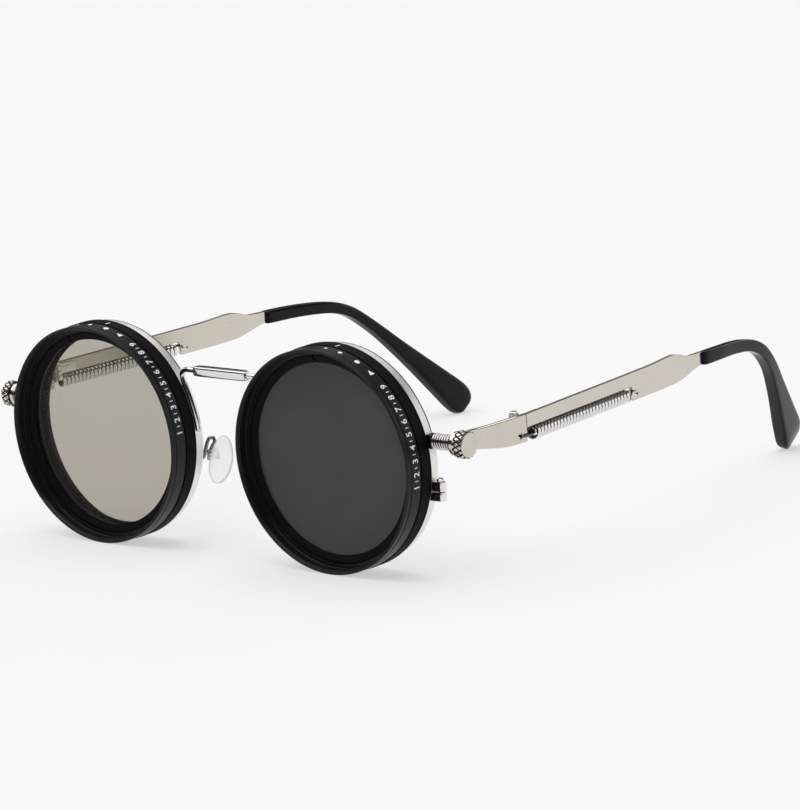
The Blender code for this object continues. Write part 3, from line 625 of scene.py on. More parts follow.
# the nut's knurl grooves and the stud's thread roots take painted shade from their groove colours
NUT = grooved("nut_silver", (0.63, 0.597, 0.54), (0.040, 0.038, 0.036), 0.13, (9.6, 5.25), (0.04, 0.17, 3.25),
              bevel=(2.74, 3.25, 73.65, 1.2))
STUD = grooved("stud_silver", (0.82, 0.80, 0.77), (0.16, 0.155, 0.15), 0.11, (9.6, 5.25), (0.08, 0.30, 1.9))
EYEWIRE, BAR = eyewire_silver(), bar_silver()
# painted shade: the pad arms are a darker copy of the drawn wire, standing in for the dark reflections on them
ARM = metal("arm_wire", (0.42, 0.41, 0.40), (0.26, 0.255, 0.25), 0.10, streak=(1.0, 1.0, 1.0), streak_strength=0.03, spread=0.03)
CHROME = metal("drawn_wire", (0.80, 0.79, 0.77), (0.70, 0.69, 0.67), 0.12,
               streak=(1.0, 1.0, 1.0), streak_strength=0.03, spread=0.03)
STEEL = metal("spring_steel", (0.70, 0.69, 0.67), (0.58, 0.57, 0.56), 0.13,
              streak=(1.0, 1.0, 1.0), streak_strength=0.05, spread=0.04)
DARK_STEEL = metal("dark_plated", (0.075, 0.073, 0.070), (0.045, 0.044, 0.043), 0.25, streak_strength=0.06)
BLACK = {side: ring_black("ring_black_" + side, x, 0.32, (0.0095, 0.0095, 0.010), (0.0150, 0.0150, 0.0155), 0.17)
         for side, x in (("left", RING_X), ("right", -RING_X))}
BLACK_MATT = {side: ring_black("ring_matt_" + side, x, 0.55, (0.0045, 0.0045, 0.0047), (0.0075, 0.0075, 0.0078), 0.05)
              for side, x in (("left", RING_X), ("right", -RING_X))}



def ink_white():
    m = Nodes("engraved_white")
    n = m.noise(m.coords, 4200.0, 4.0, 0.7)
    m.set(Base_Color=m.ramp(n, [(0.25, (0.78, 0.78, 0.76)), (0.6, (0.95, 0.95, 0.93))]),
          Roughness=m.span(n, 0.5, 0.7), Normal=m.bump(n, 0.15, 0.00002))
    return m.mat


def tip_black():
    m = Nodes("tip_black_gloss")
    cloud = m.noise(m.coords, 130.0, 3.0, 0.5)
    orange = m.noise(m.coords, 1500.0, 2.0, 0.5)
    m.set(Base_Color=m.ramp(cloud, [(0.3, (0.0065, 0.0065, 0.0070)), (0.7, (0.0105, 0.0105, 0.0112))]),
          Roughness=m.span(cloud, 0.035, 0.07), Normal=m.bump(orange, 0.015, 0.00003))
    m.shader.inputs["Specular IOR Level"].default_value = 0.15
    return m.mat


def silicone():
    m = Nodes("pad_silicone_clear")
    facing = m.add("ShaderNodeLayerWeight")
    facing.inputs["Blend"].default_value = 0.5
    cloud = m.noise(m.coords, 400.0, 3.0, 0.5)
    # painted shade: the pad's colour goes near-black where its surface turns away from view, at its rim
    edge = m.ramp(facing.outputs["Facing"], [(0.0, (0.95, 0.95, 0.95)), (0.45, (0.90, 0.90, 0.90)),
                                             (0.62, (0.20, 0.20, 0.20)), (0.76, (0.01, 0.01, 0.01))])
    m.set(Base_Color=edge, Roughness=m.span(cloud, 0.08, 0.14), Alpha=0.50, Emission_Color=edge,
          Normal=m.bump(cloud, 0.04, 0.00004))
    # painted glow: the pad emits a little light of its own, standing in for light passing through the silicone
    m.shader.inputs["Emission Strength"].default_value = 0.20
    return m.mat


INK, TIP, PAD = ink_white(), tip_black(), silicone()
CLEAR_FRONT = lens_glass("disc_clear_front", (0.055, 0.052, 0.045), 0.12, ((0.914, 0.897, 0.866), (0.912, 0.906, 0.870)), 1.7)
CLEAR_REAR = lens_glass("disc_clear_rear", (0.055, 0.052, 0.045), 0.12, ((0.914, 0.897, 0.866), (0.912, 0.906, 0.870)), 1.5)
DARK_FRONT = lens_glass("disc_dark_front", (0.068, 0.068, 0.065), 0.93, ((0.80, 0.80, 0.79), (0.80, 0.80, 0.79)), 1.25)
DARK_REAR = lens_glass("disc_dark_rear", (0.035, 0.035, 0.034), 0.60, ((0.80, 0.80, 0.79), (0.80, 0.80, 0.79)), 1.5)


# ------------------------------------------------------------------- the rings
DIAL = [(26.28, 0.0, 0.06), (26.38, 0.11, 0.06), (26.38, 1.20, 0.05), (26.17, 1.34, 0.04),
        (26.17, 1.46, 0.04), (26.38, 1.60, 0.05), (26.38, 4.42, 0.10), (26.25, 4.6, 0.05),
        (25.6, 4.6, 0), (25.6, 5.0, 0), (25.12, 5.0, 0), (25.12, 5.7, 0), (25.6, 5.7, 0), (25.6, 6.05, 0),
        (23.2, 6.05, 0.10), (23.2, 5.45, 0.10), (24.6, 5.45, 0), (24.6, 2.98, 0.05), (25.45, 2.98, 0.04),
        (25.45, 2.72, 0.03), (25.56, 2.58, 0.03), (25.45, 2.44, 0.03), (25.45, 0.62, 0.12), (25.80, 0.0, 0.10)]
BASE = [(26.45, 4.75, 0.05), (26.55, 4.86, 0.05), (26.55, 7.28, 0.03), (26.46, 7.37, 0.02), (26.46, 7.43, 0.02),
        (26.55, 7.52, 0.03), (26.55, 7.95, 0.08), (26.38, 8.2, 0.08), (24.95, 8.2, 0), (24.95, 9.3, 0),
        (25.22, 9.6, 0), (24.95, 9.9, 0), (24.95, 10.3, 0.05), (24.35, 10.3, 0.08), (24.35, 8.35, 0.08),
        (23.0, 8.35, 0.12), (23.0, 7.85, 0.12), (24.6, 7.85, 0), (24.6, 6.2, 0), (25.75, 6.2, 0),
        (25.75, 5.7, 0), (26.12, 5.7, 0), (26.12, 5.0, 0), (25.75, 5.0, 0), (25.75, 4.75, 0.03)]
RETAINER = [(24.5, 3.05, 0.05), (24.5, 3.85, 0), (22.6, 3.85, 0.04), (22.62, 3.72, 0.05), (23.85, 3.05, 0.08)]
RIM = [(25.76, 8.35, 0.10), (25.91, 8.52, 0.16), (25.95, 9.75, 0), (25.91, 10.98, 0.16), (25.76, 11.15, 0.10),
       (25.1, 11.15, 0.10), (25.1, 9.98, 0), (25.42, 9.6, 0), (25.1, 9.22, 0), (25.1, 8.35, 0.08)]


def disc(y):
    return [(0.0, y), (24.22, y, 0), (24.4, y + 0.15, 0.05), (24.4, y + 1.25, 0.05), (24.22, y + 1.4, 0),
            (0.0, y + 1.4)]


def glyph_shapes(text, height, depth):
    """Flat solids of a word in the plain built-in font, centred, in millimetres."""
    curve = bpy.data.curves.new("glyphs", "FONT")
    curve.body = text
    curve.size = 1.0
    curve.extrude = 0.5
    curve.resolution_u = 6
    curve.offset = 0.012
    holder = bpy.data.objects.new("glyphs", curve)
    bpy.context.scene.collection.objects.link(holder)
    bpy.context.view_layer.update()
    made = bpy.data.meshes.new_from_object(holder.evaluated_get(bpy.context.evaluated_depsgraph_get()))
    bpy.data.objects.remove(holder, do_unlink=True)
    verts = np.array([v.co[:] for v in made.vertices])
    faces = [tuple(p.vertices) for p in made.polygons]
    lo, hi = verts.min(0), verts.max(0)
    s = height / (hi[1] - lo[1])
    verts = (verts - (lo + hi) / 2) * np.array((s, s, depth / (hi[2] - lo[2])))
    return verts, faces


def wrap(verts, side_x, radius, theta, y):
    """Lays flat solids on a ring's outside: x runs along the turn, tops point to the front."""
    a = math.radians(theta) + verts[:, 0] / radius
    r = radius + verts[:, 2]
    return np.stack([side_x + r * np.cos(a), y - verts[:, 1], r * np.sin(a)], -1)


def flat_poly(points, depth):
    pts = np.array([(x, y, z) for z in (-depth / 2, depth / 2) for x, y in points])
    n = len(points)
    faces = [tuple(reversed(range(n))), tuple(range(n, 2 * n))]
    faces += [(i, (i + 1) % n, n + (i + 1) % n, n + i) for i in range(n)]
    return pts, faces


INK_DEPTH = 0.05
SCALE_Y = 3.0
for side, sx, turned_by in (("left", RING_X, 0.0), ("right", -RING_X, 13.9)):
    dial, base = side + "_dial", "frame"
    centre = (sx, 0.0, 0.0)
    black = BLACK[side]
    piece(side + "_turning_ring", mesh_of("r", turn(rounded(DIAL, 0.05), centre, "Y", 256)), dial,
          [side + "_dial_ring"], black)
    piece(side + "_fixed_ring", mesh_of("r", turn(rounded(BASE, 0.05), centre, "Y", 256)), "frame",
          [side + "_base_ring"], BLACK_MATT[side])
    split = math.radians(95.0 + turned_by)
    gap = 0.22 / 23.5
    arc = np.linspace(split + gap, split - gap + TAU, 257)
    rr = rounded(RETAINER, 0.05)
    retain = Shape()
    rows = [[(sx + r * math.cos(t), y, r * math.sin(t)) for r, y in rr] for t in arc]
    retain.add(np.array(rows).reshape(-1, 3), grid_faces(len(rows), len(rr))
               + [tuple(reversed(range(len(rr)))), tuple(range((len(rows) - 1) * len(rr), len(rows) * len(rr)))])
    piece(side + "_retaining_ring", mesh_of("r", retain), dial,
          [side + "_front_retainer"], BLACK_MATT[side])
    piece(side + "_front_disc", mesh_of("r", turn(rounded(disc(3.95), 0, closed=False), centre, "Y", 256, closed=False)),
          dial, [side + "_front_lens"],
          DARK_FRONT if side == "left" else CLEAR_FRONT, sharp=20)
    piece(side + "_rear_disc", mesh_of("r", turn(rounded(disc(6.35), 0, closed=False), centre, "Y", 256, closed=False)),
          "frame", [side + "_rear_lens"], DARK_REAR if side == "left" else CLEAR_REAR, sharp=20)

    # the scale: three growing dots, a triangle and plain numbers with ticks between
    marks = Shape()
    r_ink = 26.38 + 0.01
    for theta, size in ((85.4, 0.40), (76.0, 0.52), (64.6, 0.66)):
        circle = [(size * math.cos(TAU * k / 28), size * math.sin(TAU * k / 28)) for k in range(28)]
        v, f = flat_poly(circle, INK_DEPTH)
        marks.add(wrap(v, sx, r_ink, theta + turned_by, SCALE_Y), f)
    v, f = flat_poly([(-0.65, -0.76), (0.85, 0.0), (-0.65, 0.76)], INK_DEPTH)
    marks.add(wrap(v, sx, r_ink, 55.0 + turned_by, SCALE_Y), f)
    for k in range(9):
        v, f = glyph_shapes(str(k + 1), 1.75, INK_DEPTH)
        marks.add(wrap(v, sx, r_ink, -9.0 + 6.75 * k + turned_by, SCALE_Y), f)
        if k < 8:
            v, f = flat_poly([(-0.09, -0.5), (0.09, -0.5), (0.09, 0.5), (-0.09, 0.5)], INK_DEPTH)
            marks.add(wrap(v, sx, r_ink, -9.0 + 6.75 * (k + 0.5) + turned_by, SCALE_Y), f)
    piece(side + "_scale_marks", mesh_of("m", marks), dial, [], INK)
    index = Shape()
    v, f = flat_poly([(-0.14, -0.78), (0.14, -0.78), (0.14, 0.78), (-0.14, 0.78)], INK_DEPTH)
    index.add(wrap(v, sx, 26.56, 83.0, 5.75), f)
    piece(side + "_index_line", mesh_of("m", index), "frame", [], INK)

    # the split eyewire
    prof = rounded(RIM, 0.05)
    half = 25.5
    upper, lower = math.asin(-6.34 / half), math.asin(-6.60 / half)
    a = np.linspace(upper, lower + TAU, 257)
    rings = []
    for ang in a:
        rings.append([(RING_X + r * math.cos(ang), y, r * math.sin(ang)) for r, y in prof])
    rim = Shape()
    n = len(prof)
    rim.add(np.array(rings).reshape(-1, 3), grid_faces(len(rings), n)
            + [tuple(reversed(range(n))), tuple(range((len(rings) - 1) * n, len(rings) * n))])
    piece(side + "_eyewire", mesh_of("rim", rim, mirror=side == "right"), "frame", [side + "_rim"],
          EYEWIRE)

# --------------------------------------------------- lock, stud, nut, end plate
STUD_Y, STUD_Z = 9.6, 5.25


def bend_x(y):
    t = min(max((y - 12.4) / (26.65 - 12.4), 0.0), 1.0)
    return 70.75 + 5.58 * (3 * t * t - 2 * t ** 3)


def bend_slope(y):
    return (bend_x(y + 0.01) - bend_x(y - 0.01)) / 0.02


def curve_at(points, y):
    """Smooth value through (y, z) points."""
    ys, zs = np.array(points).T
    i = int(np.clip(np.searchsorted(ys, y) - 1, 0, len(ys) - 2))
    h = ys[i + 1] - ys[i]
    t = (y - ys[i]) / h
    m = []
    for j in (i, i + 1):
        lo, hi = max(j - 1, 0), min(j + 1, len(ys) - 1)
        m.append((zs[hi] - zs[lo]) / (ys[hi] - ys[lo]))
    return ((2 * t ** 3 - 3 * t * t + 1) * zs[i] + (t ** 3 - 2 * t * t + t) * h * m[0]
            + (-2 * t ** 3 + 3 * t * t) * zs[i + 1] + (t ** 3 - t * t) * h * m[1])


END_TOP = [(9.6, 7.67), (12.5, 7.6), (14.2, 7.55), (16.0, 7.62), (18.0, 7.85), (20.0, 8.18), (22.0, 8.5),
           (24.0, 8.74), (26.65, 8.82)]
END_BOTTOM = [(9.6, 2.82), (12.5, 2.84), (14.8, 2.78), (16.5, 2.56), (18.0, 2.34), (20.0, 2.12), (22.0, 2.12),
              (24.0, 2.26), (26.65, 2.44)]
TH = 1.1


def rounded_section(outer, inner, low, high, bevel):
    """A thin plate's section with rounded corners: (across 0..1, z) pairs."""
    b = min(bevel, (high - low) / 2 * 0.98)
    pts = []
    for cx, cz, a0 in ((b, high - b, 180), (TH - b, high - b, 90), (TH - b, low + b, 0), (b, low + b, -90)):
        for k in range(4):
            a = math.radians(a0 - 30 * k)
            pts.append((cx + b * math.cos(a), cz + b * math.sin(a)))
    # support points along the faces
    out = []
    for i, p in enumerate(pts):
        out.append(p)
        if i % 4 == 3:
            q = pts[(i + 1) % len(pts)]
            for s in (0.02, 0.98) if i % 8 == 3 else (0.02, 0.5, 0.98):
                out.append((p[0] + (q[0] - p[0]) * s, p[1] + (q[1] - p[1]) * s))
    return out


def end_plate_shape():
    ys = [9.6 - 2.9 * math.cos(math.radians(a)) for a in (7, 14, 22, 30, 40, 50, 60, 70, 80, 90)]
    ys += list(np.linspace(9.9, 26.5, 60)) + [26.58, 26.63, 26.65]
    rings = []
    for y in ys:
        slope = bend_slope(min(y, 26.63))
        run = math.sqrt(1 + slope * slope)
        h = math.sqrt(max(2.9 ** 2 - (STUD_Y - y) ** 2, 0.0))
        low, high = STUD_Z - h, STUD_Z + h
        if y > STUD_Y:
            low, high = min(low, curve_at(END_BOTTOM, y)), max(high, curve_at(END_TOP, y))
        back = {26.58: 0.02, 26.63: 0.07, 26.65: 0.14}.get(y, 0.0)
        low, high = low + back, high - back
        ring = []
        for across, z in rounded_section(0, 0, low, high, 0.27):
            d = min(max(across, back), TH - back)
            ring.append((bend_x(y) - d / run, y + d * slope / run, z))
        rings.append(ring)
    return loft(rings)


def cylinder_between(p, q, radius, n=32):
    p, q = np.array(p, float), np.array(q, float)
    return sweep([p, p * 0.5 + q * 0.5, q], radius, n, dome=0.0)


def temple_point(y, z, out=0.0):
    s = y - 26.95
    c, n = math.cos(math.radians(4.1)), math.sin(math.radians(4.1))
    return (76.33 - s * n + out * c, 26.95 + s * c + out * n, z)


def temple_outline():
    """Top edge, tang, lower edge and the notch of the spring; (y, z) points."""
    top = smooth([(60.0, 8.74), (72.0, 8.76), (77.0, 8.78), (80.0, 8.88), (82.5, 9.02), (85.5, 9.14), (87.6, 9.03),
                  (89.7, 8.64), (91.1, 8.17), (92.8, 7.66), (94.8, 7.38), (98.9, 7.25)], 4)
    bottom = smooth([(98.9, 4.12), (97.6, 4.02), (95.9, 3.72), (94.1, 3.32), (92.2, 2.84), (90.3, 2.44),
                     (88.3, 2.18), (85.5, 2.04), (80.0, 1.96), (70.2, 1.98)], 4)
    pts = [(26.98, 8.76), (30.0, 8.76)] + [tuple(p) for p in top]
    pts += [(98.92, 6.35), (107.9, 6.25), (107.9, 4.75), (98.92, 4.85)]
    pts += [tuple(p) for p in bottom]
    pts += [(69.45 - 0.45 * math.sin(math.radians(a)), 2.44 - 0.45 * math.cos(math.radians(a)))
            for a in (0, 18, 36, 54, 72, 90)]
    pts += [(69.0, 4.85), (68.93, 5.12), (68.74, 5.31), (68.45, 5.38), (45.0, 5.42), (26.98, 5.5)]
    return pts


def thread_r(x, a, major, minor, pitch, handed=1.0):
    t = (x / pitch - handed * a / TAU) % 1.0
    tri = np.abs(t - 0.5) * 2.0
    k = np.clip((tri - 0.12) / 0.76, 0.0, 1.0)
    return minor + (major - minor) * (k * k * (3 - 2 * k))


def threaded(axis, centre, h0, h1, major, minor, pitch, n=48, per=12):
    """A threaded rod between two heights, with small end chamfers."""
    hs = np.linspace(h0, h1, int(abs(h1 - h0) / pitch * per) + 1)
    a = np.arange(n) / n * TAU
    rows = []
    for h in hs:
        r = thread_r(h, a, major, minor, pitch)
        end = min(abs(h - h0), abs(h1 - h))
        r = np.minimum(r, minor - 0.05 + end * 1.2)
        rows.append(place(axis, centre, r, np.full(n, h), a))
    return loft(rows)


def knurled_nut():
    """Round nut: flat face, wide bevel, diamond knurl on its rim and bevel, open back."""
    cx, cy, cz = 73.65, STUD_Y, STUD_Z
    n = 288
    a = np.arange(n) / n * TAU
    prof = rounded([(0.0, 0.0), (2.72, 0.0, 0.08), (3.25, -0.425, 0.08), (3.25, -2.6, 0.08), (3.02, -2.8, 0.06),
                    (2.05, -2.8, 0.06), (2.05, -0.9, 0.05), (0.0, -0.9)], 0.03, steps=3, closed=False)
    fine = []
    for (r0, h0), (r1, h1) in zip(prof[:-1], prof[1:]):
        length = math.hypot(r1 - r0, h1 - h0)
        inside = min(r0, r1) > 2.6 and max(h0, h1) <= 0.0
        k = max(1, int(length / 0.07)) if inside else 1
        for i in range(k):
            fine.append((r0 + (r1 - r0) * i / k, h0 + (h1 - h0) * i / k))
    fine.append(tuple(prof[-1]))
    fine = np.array(fine)
    count = 16
    rows = []
    run = 0.0
    for i, (r, h) in enumerate(fine):
        if i:
            run += math.hypot(fine[i][0] - fine[i - 1][0], fine[i][1] - fine[i - 1][1])
        rr = np.full(n, r)
        hh = np.full(n, h)
        if r > 2.84 and h > -2.72 and i < len(fine) - 4:
            s = run / 2.3
            g1 = np.abs(((a * count / TAU + s) % 1.0) - 0.5) * 2
            g2 = np.abs(((a * count / TAU - s) % 1.0) - 0.5) * 2
            groove = np.maximum(np.clip((g1 - 0.58) / 0.26, 0, 1), np.clip((g2 - 0.58) / 0.26, 0, 1))
            fade = min(1.0, (r - 2.84) / 0.12, (h + 2.72) / 0.12)
            rr = r - 0.26 * groove * fade
        rows.append(place("X", (cx, cy, cz), rr, hh, a))
    mid = rows[1:-1]
    verts = np.concatenate(mid + [rows[0][:1] * 0 + np.array([[cx, cy, cz]]), np.array([[cx - 0.9, cy, cz]])])
    faces = grid_faces(len(mid), n)
    first, last, row = len(mid) * n, len(mid) * n + 1, (len(mid) - 1) * n
    for j in range(n):
        k = (j + 1) % n
        faces.append((first, k, j))
        faces.append((last, row + j, row + k))
    return Shape().add(verts, faces)


KNUCKLES = ((4.9, 6.05), (6.15, 7.35), (7.45, 8.6))
HX, HY = 73.3, 26.0


def knuckle(z0, z1, shape=None):
    prof = rounded([(0.60, z0), (1.25, z0, 0.12), (1.25, z1, 0.12), (0.60, z1)], 0.03)
    return turn(prof, (HX, HY, 0.0), "Z", 64, shape=shape)


def leaf(points, z0, z1, shape=None):
    return slab(points, z0, z1, 0.12, lambda u, v, z: (u, v, z), shape=shape)


def plate_inner(y):
    slope = bend_slope(min(y, 26.63))
    return bend_x(y) - (TH + 0.1) * math.sqrt(1 + slope * slope)


TIP_STATIONS = [
    (70.62, 98.95, 5.58, 1.62, 1.45), (70.50, 100.6, 5.52, 1.65, 1.62), (69.85, 106.5, 5.33, 1.6, 1.65),
    (68.75, 112.8, 4.95, 1.55, 1.65), (67.75, 119.0, 4.20, 1.53, 1.65), (67.10, 123.2, 3.10, 1.53, 1.65),
    (66.35, 127.2, 1.20, 1.52, 1.65), (65.25, 131.0, -1.80, 1.55, 1.65), (63.70, 134.8, -5.50, 1.68, 1.65),
    (61.50, 139.1, -10.35, 2.1, 1.70), (59.05, 143.7, -15.65, 2.78, 1.80), (56.70, 148.0, -20.75, 3.55, 1.90),
    (54.85, 151.6, -25.0, 4.2, 1.85), (54.0, 153.2, -27.0, 4.15, 1.60), (53.5, 154.2, -28.35, 3.4, 1.20),
    (53.25, 154.65, -29.0, 2.2, 0.75),
]


def tip_shape():
    st = smooth(TIP_STATIONS, 7)
    st[:, 3] *= 0.985
    st[:, 4] *= 0.985
    # a small rolled collar where the metal goes in, and a round end
    extra0 = st[0].copy()
    first = []
    for d, s in ((0.0, 0.80), (0.02, 0.92), (0.10, 0.985)):
        q = extra0.copy()
        q[1] += d
        q[3] *= s
        q[4] *= s
        first.append(q)
    st = np.concatenate([np.array(first), st[1:]])
    pts = st[:, :3]
    count = 48
    rings = []
    for i in range(len(st)):
        j0, j1 = (3, 5) if i < 3 else (max(i - 1, 0), min(i + 1, len(st) - 1))
        ahead = pts[j1] - pts[j0]
        ahead = ahead / np.linalg.norm(ahead)
        up = np.cross((1.0, 0.0, 0.0), ahead)
        up /= np.linalg.norm(up)
        across = np.cross(ahead, up)
        ring = []
        for k in range(count):
            a = TAU * (k + 0.5) / count
            ca, sa = math.cos(a), math.sin(a)
            square = 2.8 if ca < 0 < sa else 7.0
            u = math.copysign(abs(ca) ** (2 / square), ca)
            w = math.copysign(abs(sa) ** (2 / square), sa)
            ring.append(pts[i] + across * (u * st[i, 4]) + up * (w * st[i, 3]))
        rings.append(ring)
    tail = np.array(rings[-1])
    centre = tail.mean(0)
    ahead = pts[-1] - pts[-3]
    ahead /= np.linalg.norm(ahead)
    for s, d in ((0.75, 0.10), (0.45, 0.17), (0.15, 0.20)):
        rings.append(centre + (tail - centre) * s + ahead * d * 0.5)
    return loft(rings)


COIL_R, COIL_H, COIL_W, HOOK_WIRE = 1.27, 0.33, 0.565, 0.33
COIL_Y0, COIL_Y1, TURNS = 28.75, 67.25, 30


def coil_steel():
    """Spring steel with painted shade: dark between and inside the turns, near its axis, and along the top of the coil
    below the notch.
    """
    m = Nodes("spring_steel_coil")
    p0, p1 = (np.array(p) for p in world([temple_point(COIL_Y0, 3.8, -TH / 2), temple_point(COIL_Y1, 3.6, -TH / 2)]))
    s = m.add("ShaderNodeSeparateXYZ")
    m.link(m.coords, s.inputs[0])
    along = m.math("SUBTRACT", s.outputs[1], float(p0[1]))
    off = []
    for i, value in ((0, m.math("ABSOLUTE", s.outputs[0])), (2, s.outputs[2])):
        lean = float((p1[i] - p0[i]) / (p1[1] - p0[1]))
        axis = m.math("ADD", m.math("MULTIPLY", along, lean), float(p0[i]))
        off.append(m.math("SUBTRACT", value, axis))
    r = m.math("SQRT", m.math("ADD", m.math("MULTIPLY", off[0], off[0]), m.math("MULTIPLY", off[1], off[1])))
    # painted shade: steel closer than about 1.4 mm to the coil's axis is dark, so the gaps between the turns and the
    # insides look shaded
    out = m.span(r, 0.0, 1.0, 1.38 * MM, 1.53 * MM)
    # painted shade along the top of the coil, under the edge of the notch
    top = m.math("MULTIPLY", m.span(off[1], 0.0, 1.0, 0.90 * MM, 1.10 * MM), m.span(off[0], 0.0, 0.9, -0.5 * MM, 0.1 * MM))
    out = m.math("MULTIPLY", out, m.math("SUBTRACT", 1.0, top))
    fine = m.noise(m.coords, 1800.0, 3.0, 0.6)
    painted_shade_tone = blend(m, out, m.ramp(fine, [(0.3, (0.09, 0.088, 0.085)), (0.7, (0.14, 0.137, 0.133))]),
                 m.ramp(fine, [(0.3, (0.70, 0.69, 0.67)), (0.7, (0.82, 0.81, 0.79))]))
    m.set(Base_Color=painted_shade_tone, Metallic=1.0, Roughness=m.span(fine, 0.10, 0.16),
          Normal=m.bump(fine, 0.03, 0.00002))
    return m.mat


def spring_shape():
    """Close-wound flat-sided coil in the notch, with a hook at each end."""
    depth = -TH / 2
    hook = [(bend_x(25.7) - 1.62, 25.7, 3.98), (bend_x(25.2) - 1.64, 25.2, 4.0), (bend_x(24.85) - 1.38, 24.85, 4.02),
            (bend_x(24.8) - 0.75, 24.8, 4.02), (bend_x(24.8) - 0.2, 24.8, 4.02), (bend_x(24.8) + 0.38, 24.74, 4.02),
            (bend_x(25.3) + 0.50, 25.3, 4.0), (bend_x(26.0) + 0.50, 26.0, 3.96), temple_point(27.4, 3.9, 0.48),
            temple_point(28.3, 3.84, depth + COIL_R), temple_point(28.9, 3.8, depth + COIL_R * 0.98)]
    shape = sweep([np.array(p, float) for p in smooth(hook, 6)], HOOK_WIRE, 12)
    tail = [temple_point(67.1, 3.62, depth + COIL_R * 0.98), temple_point(67.7, 3.7, depth + COIL_R),
            temple_point(68.6, 4.15, 0.55), temple_point(69.6, 4.25, 0.54), temple_point(70.45, 3.97, 0.46),
            temple_point(70.72, 3.70, 0.05), temple_point(70.70, 3.66, -0.7), temple_point(70.55, 3.70, -1.42),
            temple_point(70.0, 3.95, -1.68), temple_point(69.2, 4.2, -1.62)]
    sweep([np.array(p, float) for p in smooth(tail, 6)], HOOK_WIRE, 12, shape=shape)
    rings = []
    steps, sides = TURNS * 28, 16
    for k in range(steps + 1):
        t = k / steps
        a = TAU * TURNS * t
        y, z = COIL_Y0 + (COIL_Y1 - COIL_Y0) * t, 3.8 - 0.2 * t
        centre = np.array(temple_point(y, z, depth))
        radial = np.array(temple_point(y, z + math.sin(a), depth + math.cos(a))) - centre
        axis = np.array(temple_point(y + 1.0, z, depth)) - centre
        end = min(1.0, 0.5 + min(k, steps - k) / 20)
        ring = []
        for j in range(sides):
            c, w = math.cos(TAU * (j + 0.5) / sides), math.sin(TAU * (j + 0.5) / sides)
            c, w = (math.copysign(abs(v) ** (2 / 5.0), v) for v in (c, w))
            ring.append(tuple(centre + radial * (COIL_R + COIL_H * end * c) + axis * COIL_W * end * w))
        rings.append(ring)
    return loft(rings, shape)


def bridge_half():
    reach = 26.822
    pts = []
    for k in range(20):
        a = math.radians(4.0 + 24.5 * k / 19)
        pts.append((RING_X - reach * math.cos(a), 9.0, reach * math.sin(a)))
    bend = smooth([pts[-2], pts[-1], (13.4, 9.0, 13.95), (13.5, 8.97, 14.7), (13.25, 8.9, 15.35), (12.65, 8.8, 15.85),
                   (11.7, 8.63, 16.15), (10.6, 8.4, 16.3), (8.4, 8.2, 16.3), (6.0, 8.2, 16.3)], 6)
    return pts[:-2] + [tuple(p) for p in bend]


def pad_arm_path():
    first = [(11.7, 11.25, -5.75), (11.7, 11.6, -5.75)]
    rest = smooth([(11.70, 11.62, -5.74), (11.72, 11.85, -5.5), (11.85, 12.7, -4.2), (11.95, 13.55, -2.7),
                   (11.8, 14.3, -1.75), (11.2, 14.95, -1.75), (10.85, 15.0, -2.6), (11.2, 14.6, -3.5),
                   (11.62, 14.2, -4.5)], 8)
    return first + [tuple(p) for p in rest]


PAD_X, PAD_Y, PAD_Z = 10.55, 14.2, -5.6


def pad_shape():
    """Soft oval pad, flatter on the nose side; its moulded tab is joined on where the pads are made."""
    rings = []
    tilt = math.radians(12.0)
    for i in range(1, 28):
        v = math.pi * i / 28
        ring = []
        for k in range(56):
            a = TAU * k / 56
            across = math.sin(v) ** 0.5
            cy, cz = math.cos(a) * across, math.sin(a) * across
            d = math.cos(v)
            flat = math.copysign(abs(d) ** 0.9, d) * (0.74 if d > 0 else 1.03)
            wide = 3.93 * (1.0 - 0.10 * cz)
            x, y, z = flat, cy * wide, cz * 6.05
            # tilt about Y
            xr = x * math.cos(tilt) - z * math.sin(tilt)
            zr = x * math.sin(tilt) + z * math.cos(tilt)
            ring.append((8.55 + xr, PAD_Y + y, -6.6 + zr))
        rings.append(ring)
    return loft(rings)


def with_mirror(name, shape, kinds, material, body="frame", sharp=32.0, cutters=None, soft=False):
    """Makes the left and the right piece of a shape."""
    for side in ("left", "right"):
        mesh = mesh_of(name, shape, mirror=side == "right")
        for c in cutters or []:
            mesh = cut(mesh, mesh_of("cutter", c, mirror=side == "right"))
        made = piece(side + "_" + name, mesh, body.replace("*", side), [side + "_" + k for k in kinds],
                     material, sharp)
        if soft:
            weighted(made)


clear = turn([(26.17, 8.0), (26.17, 12.0), (20.0, 12.0), (20.0, 8.0)], (RING_X, 0.0, 0.0), "Y", 192)
hole = cylinder_between((64.0, 9.6, -10.0), (64.0, 9.6, -2.0), 0.52)
with_mirror("lock_lug_upper", block((61.0, 65.0, 8.6, 10.7, -6.39, -4.0), 0.42), ["closing_block_upper"],
            POLISHED, cutters=[clear, hole], sharp=40, soft=True)
with_mirror("lock_lug_lower", block((60.6, 64.8, 8.6, 10.7, -8.7, -6.55), 0.42), ["closing_block_lower"],
            POLISHED, cutters=[clear, hole], sharp=40, soft=True)
lock_head = turn(rounded([(0.0, -3.3), (0.7, -3.3, 0.10), (0.88, -3.5, 0.08), (0.88, -3.9, 0.05), (0.42, -3.9, 0),
                          (0.42, -4.3, 0), (0.0, -4.3)], 0.05, closed=False), (64.0, 9.6, 0.0), "Z", 48, closed=False)
lock_slot = block((62.6, 65.4, 9.48, 9.72, -3.58, -3.0), 0.02, segments=1)
